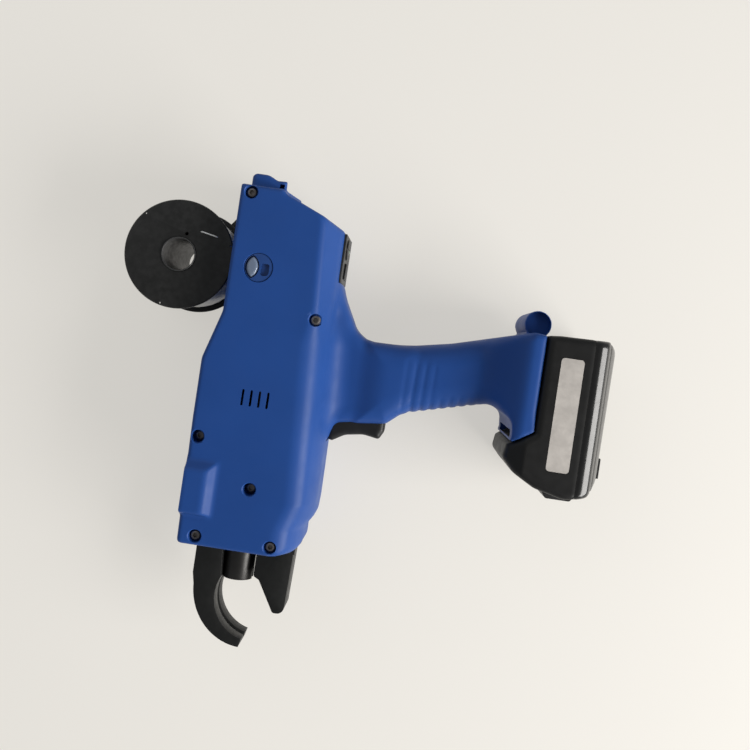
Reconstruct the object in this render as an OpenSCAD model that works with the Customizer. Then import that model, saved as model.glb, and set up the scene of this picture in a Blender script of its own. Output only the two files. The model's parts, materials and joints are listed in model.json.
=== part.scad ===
// Cordless rebar tying tool lying on its right side, as an assembly of separate pieces.
// Axes: +X from the barrel down the handle to the battery, -Y out of the nose, +Z up to the left side.
// Origin: on the resting side, under the twister axis, level with the two nose screws. Millimetres.

/* [Housing] */
// Overall width across both halves
housing_w = 74; // [72:0.5:78]
// Thickness of the moulded walls
wall = 2.5; // [2:0.1:3]
// Front face ahead of the nose screws
nose_y = 5.5; // [5:0.5:7]
// Rear face behind the nose screws
rear_y = 202.5; // [200:0.5:206]
// Top of the front barrel above the twister axis
top_front = 31; // [30:0.5:33]
// Top of the rear barrel above the twister axis
top_rear = 24.3; // [23.5:0.1:25]
// Start of the slanted step in the top
step_from = 105; // [102:0.5:107]
// End of the slanted step in the top
step_to = 129; // [126:0.5:130]
// Underside of the nose below the twister axis
nose_drop = 37; // [36.5:0.1:38]
// Underside of the belly below the twister axis
belly_drop = 44.5; // [44:0.1:46]
// Underside of the rear below the twister axis
rear_drop = 36.5; // [36:0.1:37.5]
// Where the long lower slope starts on the front barrel
ridge_front = 33; // [31:0.5:34]
// Where the long lower slope starts on the rear barrel
ridge_rear = 27; // [26:0.5:29]
// Width of the flat underside
under_w = 32; // [28:0.5:36]
// Rounding of the long top edges
edge_r = 4; // [2:0.5:5]

/* [Handle and butt] */
// Width of the handle
handle_w = 35; // [33:0.5:38]
// Rounding of the handle edges
handle_r = 13; // [8:0.5:15]
// Backward sweep of the handle in degrees
handle_tilt = 13.9; // [13:0.1:15]
// Step of the butt inside the sides of the barrel
butt_step = 1.5; // [1:0.1:2]
// Lower face of the butt below the twister axis
butt_x = 161.6; // [161:0.1:162.5]
// Radius of the round heel lug
lug_r = 8; // [6:0.5:8.5]
// Width of the round heel lug
lug_w = 44; // [36:1:50]
// Depth of the cup in each end of the heel lug
lug_cup = 7; // [4:0.5:9]
// Wall of the cup in the heel lug
lug_wall = 1.5; // [1.2:0.1:2]

/* [Screws] */
// Diameter of the screw heads
head_d = 6.8; // [6:0.1:7]
// Height of the screw heads
head_h = 3; // [2.5:0.1:3.5]
// Diameter of the screw shanks
shank_d = 4; // [3.5:0.1:4.2]
// Diameter of the counterbores
counterbore_d = 8; // [7.6:0.1:8.4]
// Depth of the counterbores
counterbore_h = 5; // [4:0.1:6]
// Size across the hex sockets
socket_d = 3.4; // [2.5:0.1:4]

/* [Nose and jaws] */
// Outside diameter of the nose sleeve
sleeve_d = 18.6; // [17.6:0.1:18.8]
// Bore of the nose sleeve
sleeve_bore = 13.4; // [13:0.1:14]
// Reach of the nose sleeve ahead of the screws
sleeve_y = 30.4; // [28:0.1:31]
// Width of the upper guide
guide_w = 20; // [18:0.5:22]
// Inner radius of the upper guide
guide_r = 26; // [25.5:0.1:26.5]
// Depth of the upper guide at its root
guide_root = 15.6; // [14:0.1:16]
// Depth of the upper guide at its tip
guide_tip = 5; // [4:0.1:6]
// Width of the wire groove in the guides
groove_w = 4; // [3:0.1:5]
// Width of the lower guide
lower_w = 18; // [16:0.5:19]
// Diameter of the lower guide pin
guide_pin_d = 5; // [4:0.1:5.5]
// Height of the nose block across the tool
block_w = 34; // [32:0.5:36]

/* [Twisting drive] */
// Diameter of the twister shaft
twist_d = 8; // [7:0.1:8]
// Diameter of the gearbox
gearbox_d = 29; // [26:0.5:30]
// Length of the gearbox
gearbox_l = 26; // [22:0.5:28]
// Diameter of the twist motor
motor_d = 28; // [26:0.5:29]
// Length of the twist motor
motor_l = 54; // [48:0.5:56]
// Front of the gearbox behind the nose screws
gearbox_y = 50; // [49:0.5:52]

/* [Wire feed] */
// Wire diameter
wire_d = 1; // [0.8:0.05:1]
// Wire path above the twister axis
wire_x = 17.5; // [17.4:0.05:17.7]
// Feed gear pair behind the nose screws
feed_y = 27; // [26:0.5:28]
// Gear module
gear_m = 1; // [0.98:0.01:1]
// Teeth on each feed gear
gear_n = 11; // [11:1:11]
// Gear thickness
gear_w = 8; // [7:0.5:9]
// Diameter of the feed gear axles
axle_d = 3; // [2.5:0.1:3.2]
// Diameter of the feed motor
feed_motor_d = 21; // [20:0.5:22]
// Outside diameter of the wire tube
tube_d = 3.2; // [2.8:0.1:3.4]
// Bore of the wire tube
tube_bore = 2; // [1.8:0.1:2.2]

/* [Reel] */
// Spool flange diameter
spool_d = 64; // [62:0.5:65]
// Gap between the spool and the foot of the hub
spool_gap = 2; // [1:0.1:2.5]
// Flange thickness
flange_t = 2; // [1.6:0.1:2.6]
// Diameter of the spool's own barrel
barrel_d = 36; // [34:0.5:38]
// Outside diameter of the reel hub
hub_d = 20.2; // [19.5:0.1:21]
// Bore of the reel hub
hub_bore = 16.8; // [16:0.1:17.4]
// Diameter of the wire core under the outer layer
wire_core_d = 55.4; // [53:0.1:56]
// Turns in the outer wire layer
wire_turns = 20; // [16:1:22]
// Spool axis above the twister axis
spool_x = 58; // [57.5:0.5:59]
// Spool axis behind the nose screws
spool_y = 158.2; // [157:0.2:160]
// Thickness of the reel bracket
bracket_t = 5.5; // [5:0.1:6]
// Height of the reel bracket above the resting side
bracket_z = 5; // [4.8:0.1:6]

/* [Trigger and controls] */
// Trigger width
trigger_w = 17; // [15:0.5:18]
// Trigger travel
trigger_travel = 6; // [5:0.5:6]
// Width of the control panel
panel_w = 34; // [32:0.5:36]
// Thickness of the control panel
panel_t = 2.6; // [2.2:0.1:3]
// Diameter of the tension dial
dial_d = 12; // [10:0.5:13]
// Diameter of the reel lock knob
knob_d = 16.4; // [15:0.2:17]

/* [Battery] */
// Lower face of the battery below the twister axis
battery_x = 206; // [205.5:0.5:209]
// Thickness of the battery walls
battery_wall = 2; // [1.6:0.1:2.2]
// Cell diameter
cell_d = 18.4; // [18:0.1:18.5]
// Length of each battery cell
cell_l = 65; // [60:0.5:66]
// Width of the sliding tongue
tongue_w = 48; // [44:0.5:50]
// Width of the neck under the tongue
neck_w = 40; // [36:0.5:42]
// Length of the side label
label_l = 65.2; // [50:0.5:68]
// Height of the side label
label_h = 13.4; // [10:0.5:16]
// Latch width
latch_w = 30; // [24:0.5:36]
// Latch travel
latch_travel = 2.4; // [1.5:0.1:2.5]

/* [Fits] */
// Gap between sliding or swinging pieces
slide_gap = 0.4; // [0.3:0.05:0.5]
// Radial gap of a pin or shaft that turns in a bore
pin_gap = 0.08; // [0.05:0.01:0.1]
// Gap round fixed pieces
fixed_gap = 0.1; // [0.05:0.05:0.2]
// Gap between the battery and the butt
battery_gap = 0.4; // [0.3:0.1:0.6]

/* [Hidden] */

$fn = 64;
// Reach that carries a cut clear of a face
past = 1;
// Far reach for cutting boxes
far = 400;
// Points on a rounded corner
arc_steps = 6;
mid = housing_w / 2;
butt_w = housing_w - 2 * butt_step;
battery_w = housing_w;
blue = [0.14, 0.27, 0.5];
black = [0.1, 0.1, 0.1];
steel = [0.7, 0.7, 0.72];
grey = [0.4, 0.4, 0.42];
brass = [0.75, 0.6, 0.25];

// Rounded outlines: corners are [x, y, radius], anticlockwise

function unit(v) = v / norm(v);
function flat(q) = [q[0], q[1]];
function before(c, i) = flat(c[(i + len(c) - 1) % len(c)]);
function after(c, i) = flat(c[(i + 1) % len(c)]);
function turn(a) = a > 180 ? a - 360 : a < -180 ? a + 360 : a;
function arc(m, r, s, t) = [for (k = [0:arc_steps])
  let (a = s + turn(t - s) * k / arc_steps) m + r * [cos(a), sin(a)]];
function corner(c, i) =
  let (q = flat(c[i]), r = c[i][2])
  let (a = unit(before(c, i) - q), b = unit(after(c, i) - q))
  let (half = acos(max(-1, min(1, a * b))) / 2)
  let (m = q + unit(a + b) * r / sin(half))
  let (s = q + a * r / tan(half) - m, t = q + b * r / tan(half) - m)
  r == 0 ? [q] : arc(m, r, atan2(s[1], s[0]), atan2(t[1], t[0]));
function rounded(c) = [for (i = [0:len(c) - 1]) each corner(c, i)];

// The same outline moved inward by d
function left_of(e) = [-e[1], e[0]];
function cross2(a, b) = a[0] * b[1] - a[1] * b[0];
function inset(c, d) = [for (i = [0:len(c) - 1])
  let (q = flat(c[i]), r = c[i][2])
  let (a = unit(q - before(c, i)), b = unit(after(c, i) - q))
  let (m = q + (left_of(a) + left_of(b)) * d / (1 + a * b))
  [m[0], m[1], r == 0 ? 0 : cross2(a, b) > 0 ? max(r - d, r / 4) : r + d]];

// Prisms along each axis from rounded outlines
module slab(c, z0, z1) {
  translate([0, 0, z0])
    linear_extrude(z1 - z0)
      polygon(rounded(c));
}
module bar_y(c, y0, y1) {
  translate([0, y1, 0])
    rotate([90, 0, 0])
      linear_extrude(y1 - y0)
        polygon(rounded(c));
}
module bar_x(c, x0, x1) {
  translate([x0, 0, 0])
    rotate([90, 0, 90])
      linear_extrude(x1 - x0)
        polygon(rounded(c));
}
module box(x0, x1, y0, y1, z0, z1) {
  translate([x0, y0, z0])
    cube([x1 - x0, y1 - y0, z1 - z0]);
}
// Box given by its width across the parting plane
module mid_box(x0, x1, y0, y1, w) {
  box(x0, x1, y0, y1, mid - w / 2, mid + w / 2);
}
// Round bar along the barrel on the twister axis
module along(d, y0, y1) {
  translate([0, y1, mid])
    rotate([90, 0, 0])
      cylinder(d = d, h = y1 - y0);
}
// Round bar across the tool
module across(x, y, d, z0, z1) {
  translate([x, y, z0])
    cylinder(d = d, h = z1 - z0);
}

// Round tube along a line of points, with rings of sides corners
function ring(p, d, up, r, n) =
  let (u = unit(cross(d, up)), v = cross(u, d))
  [for (k = [0:n - 1]) p + r * (u * cos(360 * k / n) + v * sin(360 * k / n))];
function heading(p, i) = unit(p[min(i + 1, len(p) - 1)] - p[max(i - 1, 0)]);
module tube_along(p, up, r, n) {
  pts = [for (i = [0:len(p) - 1]) each ring(p[i], heading(p, i), up[i], r, n)];
  walls = [for (i = [0:len(p) - 2]) for (k = [0:n - 1])
    let (a = i * n + k, b = i * n + (k + 1) % n)
    each [[a, b, b + n], [a, b + n, a + n]]];
  first = [for (k = [1:n - 2]) [0, k + 1, k]];
  base = (len(p) - 1) * n;
  last = [for (k = [1:n - 2]) [base, base + k, base + k + 1]];
  polyhedron(concat(pts), concat(walls, first, last));
}
// Coil spring along +Z: mean radius, wire radius, length, turns
spring_rings = 12;
spring_sides = 6;
module coil(r, w, h, n) {
  steps = n * spring_rings;
  p = [for (i = [0:steps])
    [r * cos(360 * i / spring_rings), r * sin(360 * i / spring_rings), h * i / steps]];
  up = [for (i = [0:steps]) [cos(360 * i / spring_rings), sin(360 * i / spring_rings), 0]];
  tube_along(p, up, w, spring_sides);
}

// Housing outlines

belly_from = 23;
belly_slope = 14;
belly_to = 64;
rear_slant_x = 2.5;
rear_slant_y = 186;
front_outline = [[-top_front, -nose_y, 2], [nose_drop, -nose_y, 7], [nose_drop, belly_slope, 4],
  [belly_drop, belly_from, 6], [belly_drop, belly_to, 2], [rear_drop, step_to, 0],
  [-top_rear, step_to, 0], [-top_front, step_from, 8]];
rear_front_y = 110;
rear_outline = [[-top_rear, rear_front_y, 0], [rear_drop, rear_front_y, 0],
  [rear_drop, rear_slant_y, 2], [rear_slant_x, rear_y - wall, 2], [rear_slant_x - wall, rear_y, 1],
  [-top_rear, rear_y, 2]];
function barrel_section(top, ridge, drop) = [[-top, 0, edge_r], [ridge, 0, 9],
  [drop + past, mid - under_w / 2, 8], [drop + past, mid + under_w / 2, 8],
  [ridge, housing_w, 9], [-top, housing_w, edge_r]];
front_section = barrel_section(top_front, ridge_front, belly_drop);
rear_section = barrel_section(top_rear, ridge_rear, rear_drop);
root_w = 31;
root_outline = [[24, 66, 0], [42.5, 66, 0], [46.5, 73.5, 6], [76, 78.5, 3], [84, 86, 4], [88, 122, 4],
  [74, 124.4, 8], [61.5, 124, 9], [51.6, 131, 14], [38.4, 154.9, 3], [24, 158, 0]];
grip_outline = [[60, 77.5, 0], [76, 78.5, 3], [83, 84, 5], [130, 96.5, 12], [150, 99, 0],
  [152, 141.5, 0], [109.4, 131.5, 60], [74, 124.4, 6], [60, 124.4, 0]];
grip_x = 100;
grip_y = 109.4;
grip_deep = 21;
grip_section = [[-grip_deep, mid - handle_w / 2, handle_r], [grip_deep, mid - handle_w / 2, handle_r],
  [grip_deep, mid + handle_w / 2, handle_r], [-grip_deep, mid + handle_w / 2, handle_r]];
lip_toe_x = 146.4;
lip_toe_y = 76.9;
lip_heel_y = 86.4;
butt_outline = [[126, 95.4, 0], [136, 98, 8], [148.6, 92, 8], [149.6, 81, 4], [lip_toe_x, lip_toe_y, 1],
  [butt_x, lip_heel_y, 1], [butt_x, 139, 1], [154.4, 143.6, 3], [126, 136, 0]];
butt_hollow = [[126, 95.4, 0], [136, 98, 8], [butt_x, 97, 1], [butt_x, 139, 1], [154.4, 143.6, 3],
  [126, 136, 0]];
flare_x = [120, 129, 137, 145, 150, 154];
flare_h = [17.4, 17.6, 21, 28.5, 33];
function flare_side(s) = [for (i = [0:len(flare_h) - 1]) [flare_x[i], mid + s * flare_h[i], 0]];
flare_outline = concat([[flare_x[0], mid - flare_h[0], 0]], [for (i = [1:4]) flare_side(-1)[i]],
  [[flare_x[5], mid - butt_w / 2, 0], [butt_x + past, mid - butt_w / 2, 0],
   [butt_x + past, mid + butt_w / 2, 0], [flare_x[5], mid + butt_w / 2, 0]],
  [for (i = [4:-1:1]) flare_side(1)[i]], [[flare_x[0], mid + flare_h[0], 0]]);
butt_r = 7;
butt_y0 = 74;
butt_y1 = 145;
butt_section = [[butt_y0, mid - butt_w / 2, butt_r], [butt_y1, mid - butt_w / 2, butt_r],
  [butt_y1, mid + butt_w / 2, butt_r], [butt_y0, mid + butt_w / 2, butt_r]];
lug_x = 157;
lug_y = 148.5;
hump_w = 60;
hump_outline = [[-20.2, 198, 0], [2, 198, 0], [0.3, 208.6, 1], [-5.5, 208.4, 4], [-11, 211, 6],
  [-20.4, 211, 4.5]];

module housing_form(d) {
  intersection() {
    slab(inset(front_outline, d), -far, far);
    bar_y(inset(front_section, d), -far, far);
  }
  intersection() {
    slab(inset(rear_outline, d), -far, far);
    bar_y(inset(rear_section, d), -far, far);
  }
  slab(inset(root_outline, d), mid - root_w / 2 + d, mid + root_w / 2 - d);
  intersection() {
    slab(inset(grip_outline, d), -far, far);
    translate([grip_x, grip_y, 0])
      rotate([0, 0, handle_tilt])
        bar_x(inset(grip_section, d), -far, far);
  }
  intersection() {
    slab(d == 0 ? butt_outline : inset(butt_hollow, d), -far, far);
    bar_y(inset(flare_outline, d), -far, far);
    bar_x(inset(butt_section, d), -far, far);
  }
}

// Screws: [x, y, lower end of the shank]
deep_end = 12;
screw_at = [[-17.8, 198.1, deep_end], [28.4, 131.5, deep_end], [-25.2, 56.4, deep_end],
  [8, 33, mid + 9.5], [-20.9, 0, mid + 10], [22.1, 0, mid + 10]];
post_d = 7.4;
head_z = housing_w - counterbore_h;
module counterbores() {
  for (s = screw_at) {
    across(s[0], s[1], counterbore_d, head_z, far);
    across(s[0], s[1], shank_d + 2 * fixed_gap, -past, far);
  }
}
module posts_up() {
  for (s = screw_at)
    across(s[0], s[1], post_d, s[2] > mid ? mid + block_w / 2 + fixed_gap : mid, head_z - past);
  for (s = screw_at)
    across(s[0], s[1], counterbore_d + wall, head_z - wall, housing_w - past);
}
module posts_down() {
  for (s = screw_at)
    if (s[2] < mid)
      across(s[0], s[1], post_d, wall - past, mid);
}
module pilots() {
  for (s = screw_at)
    if (s[2] < mid)
      across(s[0], s[1], shank_d, s[2], mid + past);
}

// Bulge over the feed gears
bulge_x = 33.2;
bulge_in = 13.5;
bulge_y0 = 11.6;
bulge_y1 = 43.2;
bulge_h = 4.5;
bulge_slope = 5;
bulge_root = 12;
module bulge(d) {
  intersection() {
    bar_y([[-bulge_x + d, mid, 0], [-bulge_in - d, mid, 0], [-bulge_in - d, housing_w - d, 1],
      [-bulge_in - bulge_slope - d, housing_w + bulge_h - d, 1],
      [-bulge_x + d, housing_w + bulge_h - d, 3]], bulge_y0, bulge_y1);
    bar_x([[bulge_y0 + d, mid - bulge_root, 0], [bulge_y1 - d, mid - bulge_root, 0],
      [bulge_y1 - d, housing_w - d, 1], [bulge_y1 - bulge_slope - d, housing_w + bulge_h - d, 1],
      [bulge_y0 + 2 + d, housing_w + bulge_h - d, 1], [bulge_y0 + d, housing_w - d, 1]], -far, far);
  }
}
// Right half continues the bulge a little below the parting plane
module bulge_foot(d) {
  intersection() {
    box(-bulge_x + d, -bulge_in, bulge_y0 + d, bulge_y1 - d, mid - bulge_root + d, mid);
    slab([[-bulge_x + d, bulge_y0 + d, 1], [0, bulge_y0 + d, 0], [0, bulge_y1 - d, 0],
      [-bulge_x + d, bulge_y1 - d, 1]], 0, housing_w);
  }
}

// Cuts through the housing
vent_l = 9;
vent_w = 1.4;
vent_y = 82;
vent_x = [-5.6, -0.8, 4, 8.8];
trigger_y0 = 60.4;
pocket_x0 = 41;
pocket_x1 = 77;
pocket_y = 92;
knob_x = -7.5;
knob_y = 156.1;
knob_recess = 3.5;
knob_shaft_d = 6;
knob_end = bracket_z + bracket_t - 2;
block_x0 = -27;
block_x1 = 34.5;
block_y0 = -8;
block_y1 = 10;
panel_y0 = 156;
panel_y1 = 185;
tongue_top = 149.6;
tongue_head = 158.4;
tongue_y0 = 94;
tongue_y1 = 134;
module cuts() {
  for (x = vent_x)
    box(x - vent_w / 2, x + vent_w / 2, vent_y - vent_l / 2, vent_y + vent_l / 2, -far, far);
  mid_box(pocket_x0, pocket_x1, trigger_y0, pocket_y, trigger_w + 2 * slide_gap);
  mid_box(block_x0 - fixed_gap, block_x1 + fixed_gap, -far, block_y1 + fixed_gap,
    block_w + 2 * fixed_gap);
  mid_box(block_x1, far, -far, pivot_y, lower_w + 2 * slide_gap);
  mid_box(rear_drop - wall - past, far, panel_y0 + 3, panel_y1 - 3, panel_w - 6);
  mid_box(rear_drop - past, rear_drop + far, panel_y0 - fixed_gap, panel_y1 + fixed_gap,
    panel_w + 2 * fixed_gap);
  mid_box(tongue_top - slide_gap, tongue_head + slide_gap + fixed_gap, -far,
    tongue_y1 + battery_gap, tongue_w + 2 * slide_gap);
  mid_box(tongue_head - past, butt_x + past, -far, tongue_y1 + battery_gap,
    neck_w + 2 * slide_gap);
  bracket_slot();
  inlet_cut();
  lug_cups();
}
// Cups in the ends of the heel lug
module lug_cups() {
  for (s = [-1, 1])
    translate([lug_x, lug_y, mid + s * lug_w / 2])
      cylinder(r = lug_r - lug_wall, h = 2 * lug_cup, center = true);
}
// Cheek round the knob recess
module knob_seat() {
  across(knob_x, knob_y, knob_d + 2 * slide_gap + 2 * wall, head_z - 3, housing_w - past);
}
module knob_cut() {
  across(knob_x, knob_y, knob_d + 2 * slide_gap, housing_w - knob_recess, far);
  across(knob_x, knob_y, knob_shaft_d + 2 * pin_gap, mid, far);
}
module left_housing() {
  color(blue)
    difference() {
      union() {
        intersection() {
          difference() {
            union() {
              housing_form(0);
              slab(hump_outline, mid - hump_w / 2, mid + hump_w / 2);
            }
            housing_form(wall);
          }
          box(-far, far, -far, far, mid, far);
        }
        intersection() {
          difference() {
            bulge(0);
            bulge(wall);
            housing_form(wall);
          }
          box(-far, far, -far, far, mid, far);
        }
        across(lug_x, lug_y, 2 * lug_r, mid, mid + lug_w / 2);
        intersection() {
          union() {
            posts_up();
            knob_seat();
            board_posts();
          }
          housing_form(past);
        }
      }
      counterbores();
      knob_cut();
      cuts();
      intersection() {
        bulge(wall);
        box(-far, far, -far, far, mid, far);
      }
    }
}
module right_housing() {
  color(blue)
    difference() {
      union() {
        intersection() {
          difference() {
            union() {
              housing_form(0);
              slab(hump_outline, mid - hump_w / 2, mid + hump_w / 2);
            }
            housing_form(wall);
          }
          box(-far, far, -far, far, -far, mid);
        }
        bulge_foot(0);
        across(lug_x, lug_y, 2 * lug_r, mid - lug_w / 2, mid);
        intersection() {
          posts_down();
          housing_form(past);
        }
      }
      bulge_foot(wall);
      intersection() {
        housing_form(wall);
        box(-far, 0, bulge_y0 - wall, bulge_y1 + wall, mid - bulge_root, mid);
      }
      pilots();
      cuts();
    }
}
module housing_screws() {
  color(grey)
    for (s = screw_at)
      difference() {
        union() {
          across(s[0], s[1], head_d, head_z, head_z + head_h);
          across(s[0], s[1], shank_d, s[2] + past, head_z + past);
        }
        translate([s[0], s[1], head_z + head_h / 2])
          cylinder(d = socket_d, h = head_h, $fn = 6);
      }
}

// Rear control panel

panel_out = rear_drop + panel_t - past;
switch_y = 164;
switch_l = 9;
switch_w = 13;
dial_y = 177;
dial_z = mid + 4;
dial_rise = 0.9;
dial_stem = 5;
dial_stem_l = 9;
lens_d = 4;
lens_z = mid - 11;
pivot_d = 1.4;
pivot_l = 1.2;
module rocker_pin(g) {
  half = switch_l / 2 + slide_gap + pivot_l + g;
  translate([panel_out - panel_t / 2, switch_y + half, mid])
    rotate([90, 0, 0])
      cylinder(d = pivot_d + 2 * g, h = 2 * half);
}
module control_panel() {
  color(black)
    difference() {
      union() {
        mid_box(rear_drop - past, panel_out, panel_y0, panel_y1, panel_w);
        mid_box(rear_drop - wall - past, rear_drop, panel_y0 + 3 + fixed_gap,
          panel_y1 - 3 - fixed_gap, panel_w - 6 - 2 * fixed_gap);
      }
      mid_box(0, far, switch_y - switch_l / 2 - slide_gap, switch_y + switch_l / 2 + slide_gap,
        switch_w + 2 * slide_gap);
      translate([0, dial_y, dial_z])
        rotate([0, 90, 0])
          cylinder(d = dial_stem + 2 * pin_gap, h = far);
      translate([rear_drop, dial_y, dial_z])
        rotate([0, 90, 0])
          cylinder(d = dial_d + 2 * slide_gap, h = far);
      translate([0, dial_y, lens_z])
        rotate([0, 90, 0])
          cylinder(d = lens_d, h = far);
      rocker_pin(pin_gap);
    }
}
module status_lens() {
  color([0.2, 0.7, 0.3])
    translate([rear_drop - wall, dial_y, lens_z])
      rotate([0, 90, 0])
        cylinder(d = lens_d - 2 * fixed_gap, h = wall + panel_t - past);
}
rocker_in = 6;
rocker_tip = 1;
rocker_w = switch_w - 1.2;
module power_switch() {
  color([0.6, 0.1, 0.1]) {
    rocker_pin(0);
    bar_y([[rear_drop - rocker_in, mid - 2, 0], [panel_out, mid - rocker_w / 2, 0.5],
      [panel_out - rocker_tip / 2, mid, 0], [panel_out + rocker_tip, mid + rocker_w / 2, 0.5],
      [rear_drop - rocker_in, mid + 2, 0]], switch_y - switch_l / 2, switch_y + switch_l / 2);
  }
}
module tension_dial() {
  color(grey)
    difference() {
      union() {
        translate([rear_drop + slide_gap, dial_y, dial_z])
          rotate([0, 90, 0])
            cylinder(d = dial_d, h = panel_t - past - slide_gap + dial_rise);
        translate([rear_drop - dial_stem_l, dial_y, dial_z])
          rotate([0, 90, 0])
            cylinder(d = dial_stem, h = dial_stem_l + past);
      }
      box(panel_out + dial_rise / 3, far, dial_y - 0.6, dial_y + 0.6,
        dial_z - dial_d, dial_z + dial_d);
    }
}

// Reel lock knob: disc in the recess, shaft down to the bracket

knob_grip_x = -4;
knob_grip_w = 6.2;
knob_grip_l = 5.4;
knob_t = 2.4;
knob_grip_h = 1.6;
module reel_lock_knob() {
  color([0.25, 0.35, 0.5]) {
    difference() {
      across(knob_x, knob_y, knob_d, housing_w - knob_recess + slide_gap,
        housing_w - knob_recess + knob_t);
      across(knob_x + 5, knob_y, 6, housing_w - knob_recess + 1.4, far);
    }
    intersection() {
      across(knob_x, knob_y, knob_d, mid, far);
      for (s = [-1, 1])
        across(knob_x + knob_grip_x, knob_y + s * knob_grip_l / 2, knob_grip_w,
          housing_w - knob_recess + past, housing_w - knob_recess + knob_t + knob_grip_h);
    }
    box(knob_x + knob_grip_x - knob_grip_w / 2, knob_x + knob_grip_x + knob_grip_w / 2,
      knob_y - knob_grip_l / 2, knob_y + knob_grip_l / 2, housing_w - knob_recess + past,
      housing_w - knob_recess + knob_t + knob_grip_h);
    across(knob_x, knob_y, knob_shaft_d, knob_end, housing_w - knob_recess + past);
  }
}

// Trigger, its spring and switch

trigger_back = 89;
switch_x0 = 50;
switch_x1 = 72;
switch_front = trigger_back + trigger_travel + past;
switch_body_l = 16;
spring_r = 3;
spring_wire = 0.4;
spring_x = 61;
trigger_outline = [[41.6, 62.2, 1], [45.5, 61, 1.2], [53, 65.6, 12], [64, 67.4, 14],
  [73.6, 65.8, 2], [76.3, 71, 2.5], [76.3, trigger_back, 1], [44, trigger_back, 1], [42, 70, 3]];
module trigger() {
  color(black)
    difference() {
      slab(trigger_outline, mid - trigger_w / 2, mid + trigger_w / 2);
      translate([spring_x, trigger_back - 3, mid])
        rotate([-90, 0, 0])
          cylinder(r = spring_r + 1.2, h = far);
    }
}
module trigger_spring() {
  color(steel)
    translate([spring_x, trigger_back - 2.4, mid])
      rotate([-90, 0, 0])
        coil(spring_r, spring_wire, switch_front - trigger_back + 1.8, 4);
}
module trigger_switch() {
  color(black)
    mid_box(switch_x0, switch_x1, switch_front, switch_front + switch_body_l, trigger_w);
}

// Nose block, jaws and sleeve

pivot_x = 28.5;
pivot_y = -1.5;
lower_root = 9;
tab_x0 = 2;
tab_x1 = 13;
tab_y = 38;
tab_z0 = mid + 7.4;
tab_z1 = mid + 17;
seat_t = 2;
lower_in = 11;
module nose_block() {
  color(black)
    difference() {
      union() {
        mid_box(block_x0, block_x1, block_y0, block_y1, block_w);
        box(tab_x0, tab_x1, block_y0, tab_y, tab_z0, tab_z1);
      }
      along(sleeve_d + fixed_gap, -far, block_y1 - seat_t);
      along(bearing_d, block_y1 - seat_t - bearing_w, far);
      mid_box(lower_in - slide_gap, far, -far, pivot_y + lower_root / 2 + slide_gap,
        lower_w + 2 * slide_gap);
      mid_box(pivot_x - lower_root / 2 - slide_gap, far, -far,
        pivot_y + lower_root / 2 + slide_gap, lower_w + 2 * slide_gap);
      across(pivot_x, pivot_y, guide_pin_d, -far, far);
      mid_box(-wire_x - tube_d, -wire_x + tube_d, -far, far, tube_d + 1);
      across(cutter_x, cutter_y, die_d, mid - die_w / 2, mid + die_w / 2);
      for (s = screw_at)
        across(s[0], s[1], shank_d + fixed_gap, mid, far);
    }
}
guide_cx = 15.6;
guide_cy = -40;
guide_from = 156;
guide_to = 256;
guide_steps = 22;
guide_top = 25.3;
guide_side = 9.8;
guide_neck_y = 29;
function guide_pt(r, a) = [guide_cx + r * cos(a), guide_cy + r * sin(a)];
function guide_angle(i) = guide_from + (guide_to - guide_from) * i / guide_steps;
function guide_depth(i) = guide_root + (guide_tip - guide_root) * i / guide_steps;
guide_inner = [for (i = [0:guide_steps]) guide_pt(guide_r, guide_angle(i))];
guide_outer = [for (i = [guide_steps:-1:4])
  guide_pt(guide_r + guide_depth(i), guide_angle(i))];
liner_in = 2.4;
liner_t = 2;
liner_from = 162;
liner_to = 248;
liner_teeth = 16;
liner_notch = 1.2;
function liner_angle(i) = liner_from + (liner_to - liner_from) * i / liner_teeth;
module upper_guide() {
  color(black)
    difference() {
      translate([0, 0, mid - guide_w / 2])
        linear_extrude(guide_w)
          polygon(concat([[-guide_top, block_y0], [-guide_top, -guide_neck_y]],
            [for (i = [len(guide_outer) - 1:-1:0]) guide_outer[i]],
            [for (i = [guide_steps:-1:0]) guide_inner[i]], [[-guide_side, block_y0]]));
      translate([guide_cx, guide_cy, mid - groove_w / 2])
        linear_extrude(groove_w)
          intersection() {
            circle(r = guide_r + liner_in + liner_t);
            polygon([[0, 0], for (a = [liner_from - 8:10:guide_to + 20])
              2 * guide_r * [cos(a), sin(a)]]);
          }
      mid_box(-wire_x - groove_w / 2, -wire_x + groove_w / 2, -guide_neck_y - groove_w / 2, 0, groove_w);
      along(sleeve_d + 2 * fixed_gap, -sleeve_y - fixed_gap, 0);
    }
}
module guide_liner() {
  color(steel)
    translate([guide_cx, guide_cy, mid - groove_w / 2 + fixed_gap])
      linear_extrude(groove_w - 2 * fixed_gap)
        polygon(concat(
          [for (i = [0:liner_teeth])
            (guide_r + liner_in + liner_t - fixed_gap) * [cos(liner_angle(i)), sin(liner_angle(i))]],
          [for (i = [liner_teeth:-1:0]) (guide_r + liner_in - (i % 2) * liner_notch)
            * [cos(liner_angle(i)), sin(liner_angle(i))]]));
}
sleeve_slot = 7;
module nose_sleeve() {
  color(grey)
    difference() {
      along(sleeve_d, -sleeve_y, block_y1 - seat_t - bearing_w);
      along(sleeve_bore, -far, far);
      mid_box(-far, far, -sleeve_y - past, -sleeve_y + sleeve_slot, groove_w);
    }
}
lower_tip_y = -47;
lower_side = 33;
lower_step_y = -26.6;
lower_tip_x = 25.5;
lower_groove_y = -14;
lower_back = 6;
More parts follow.
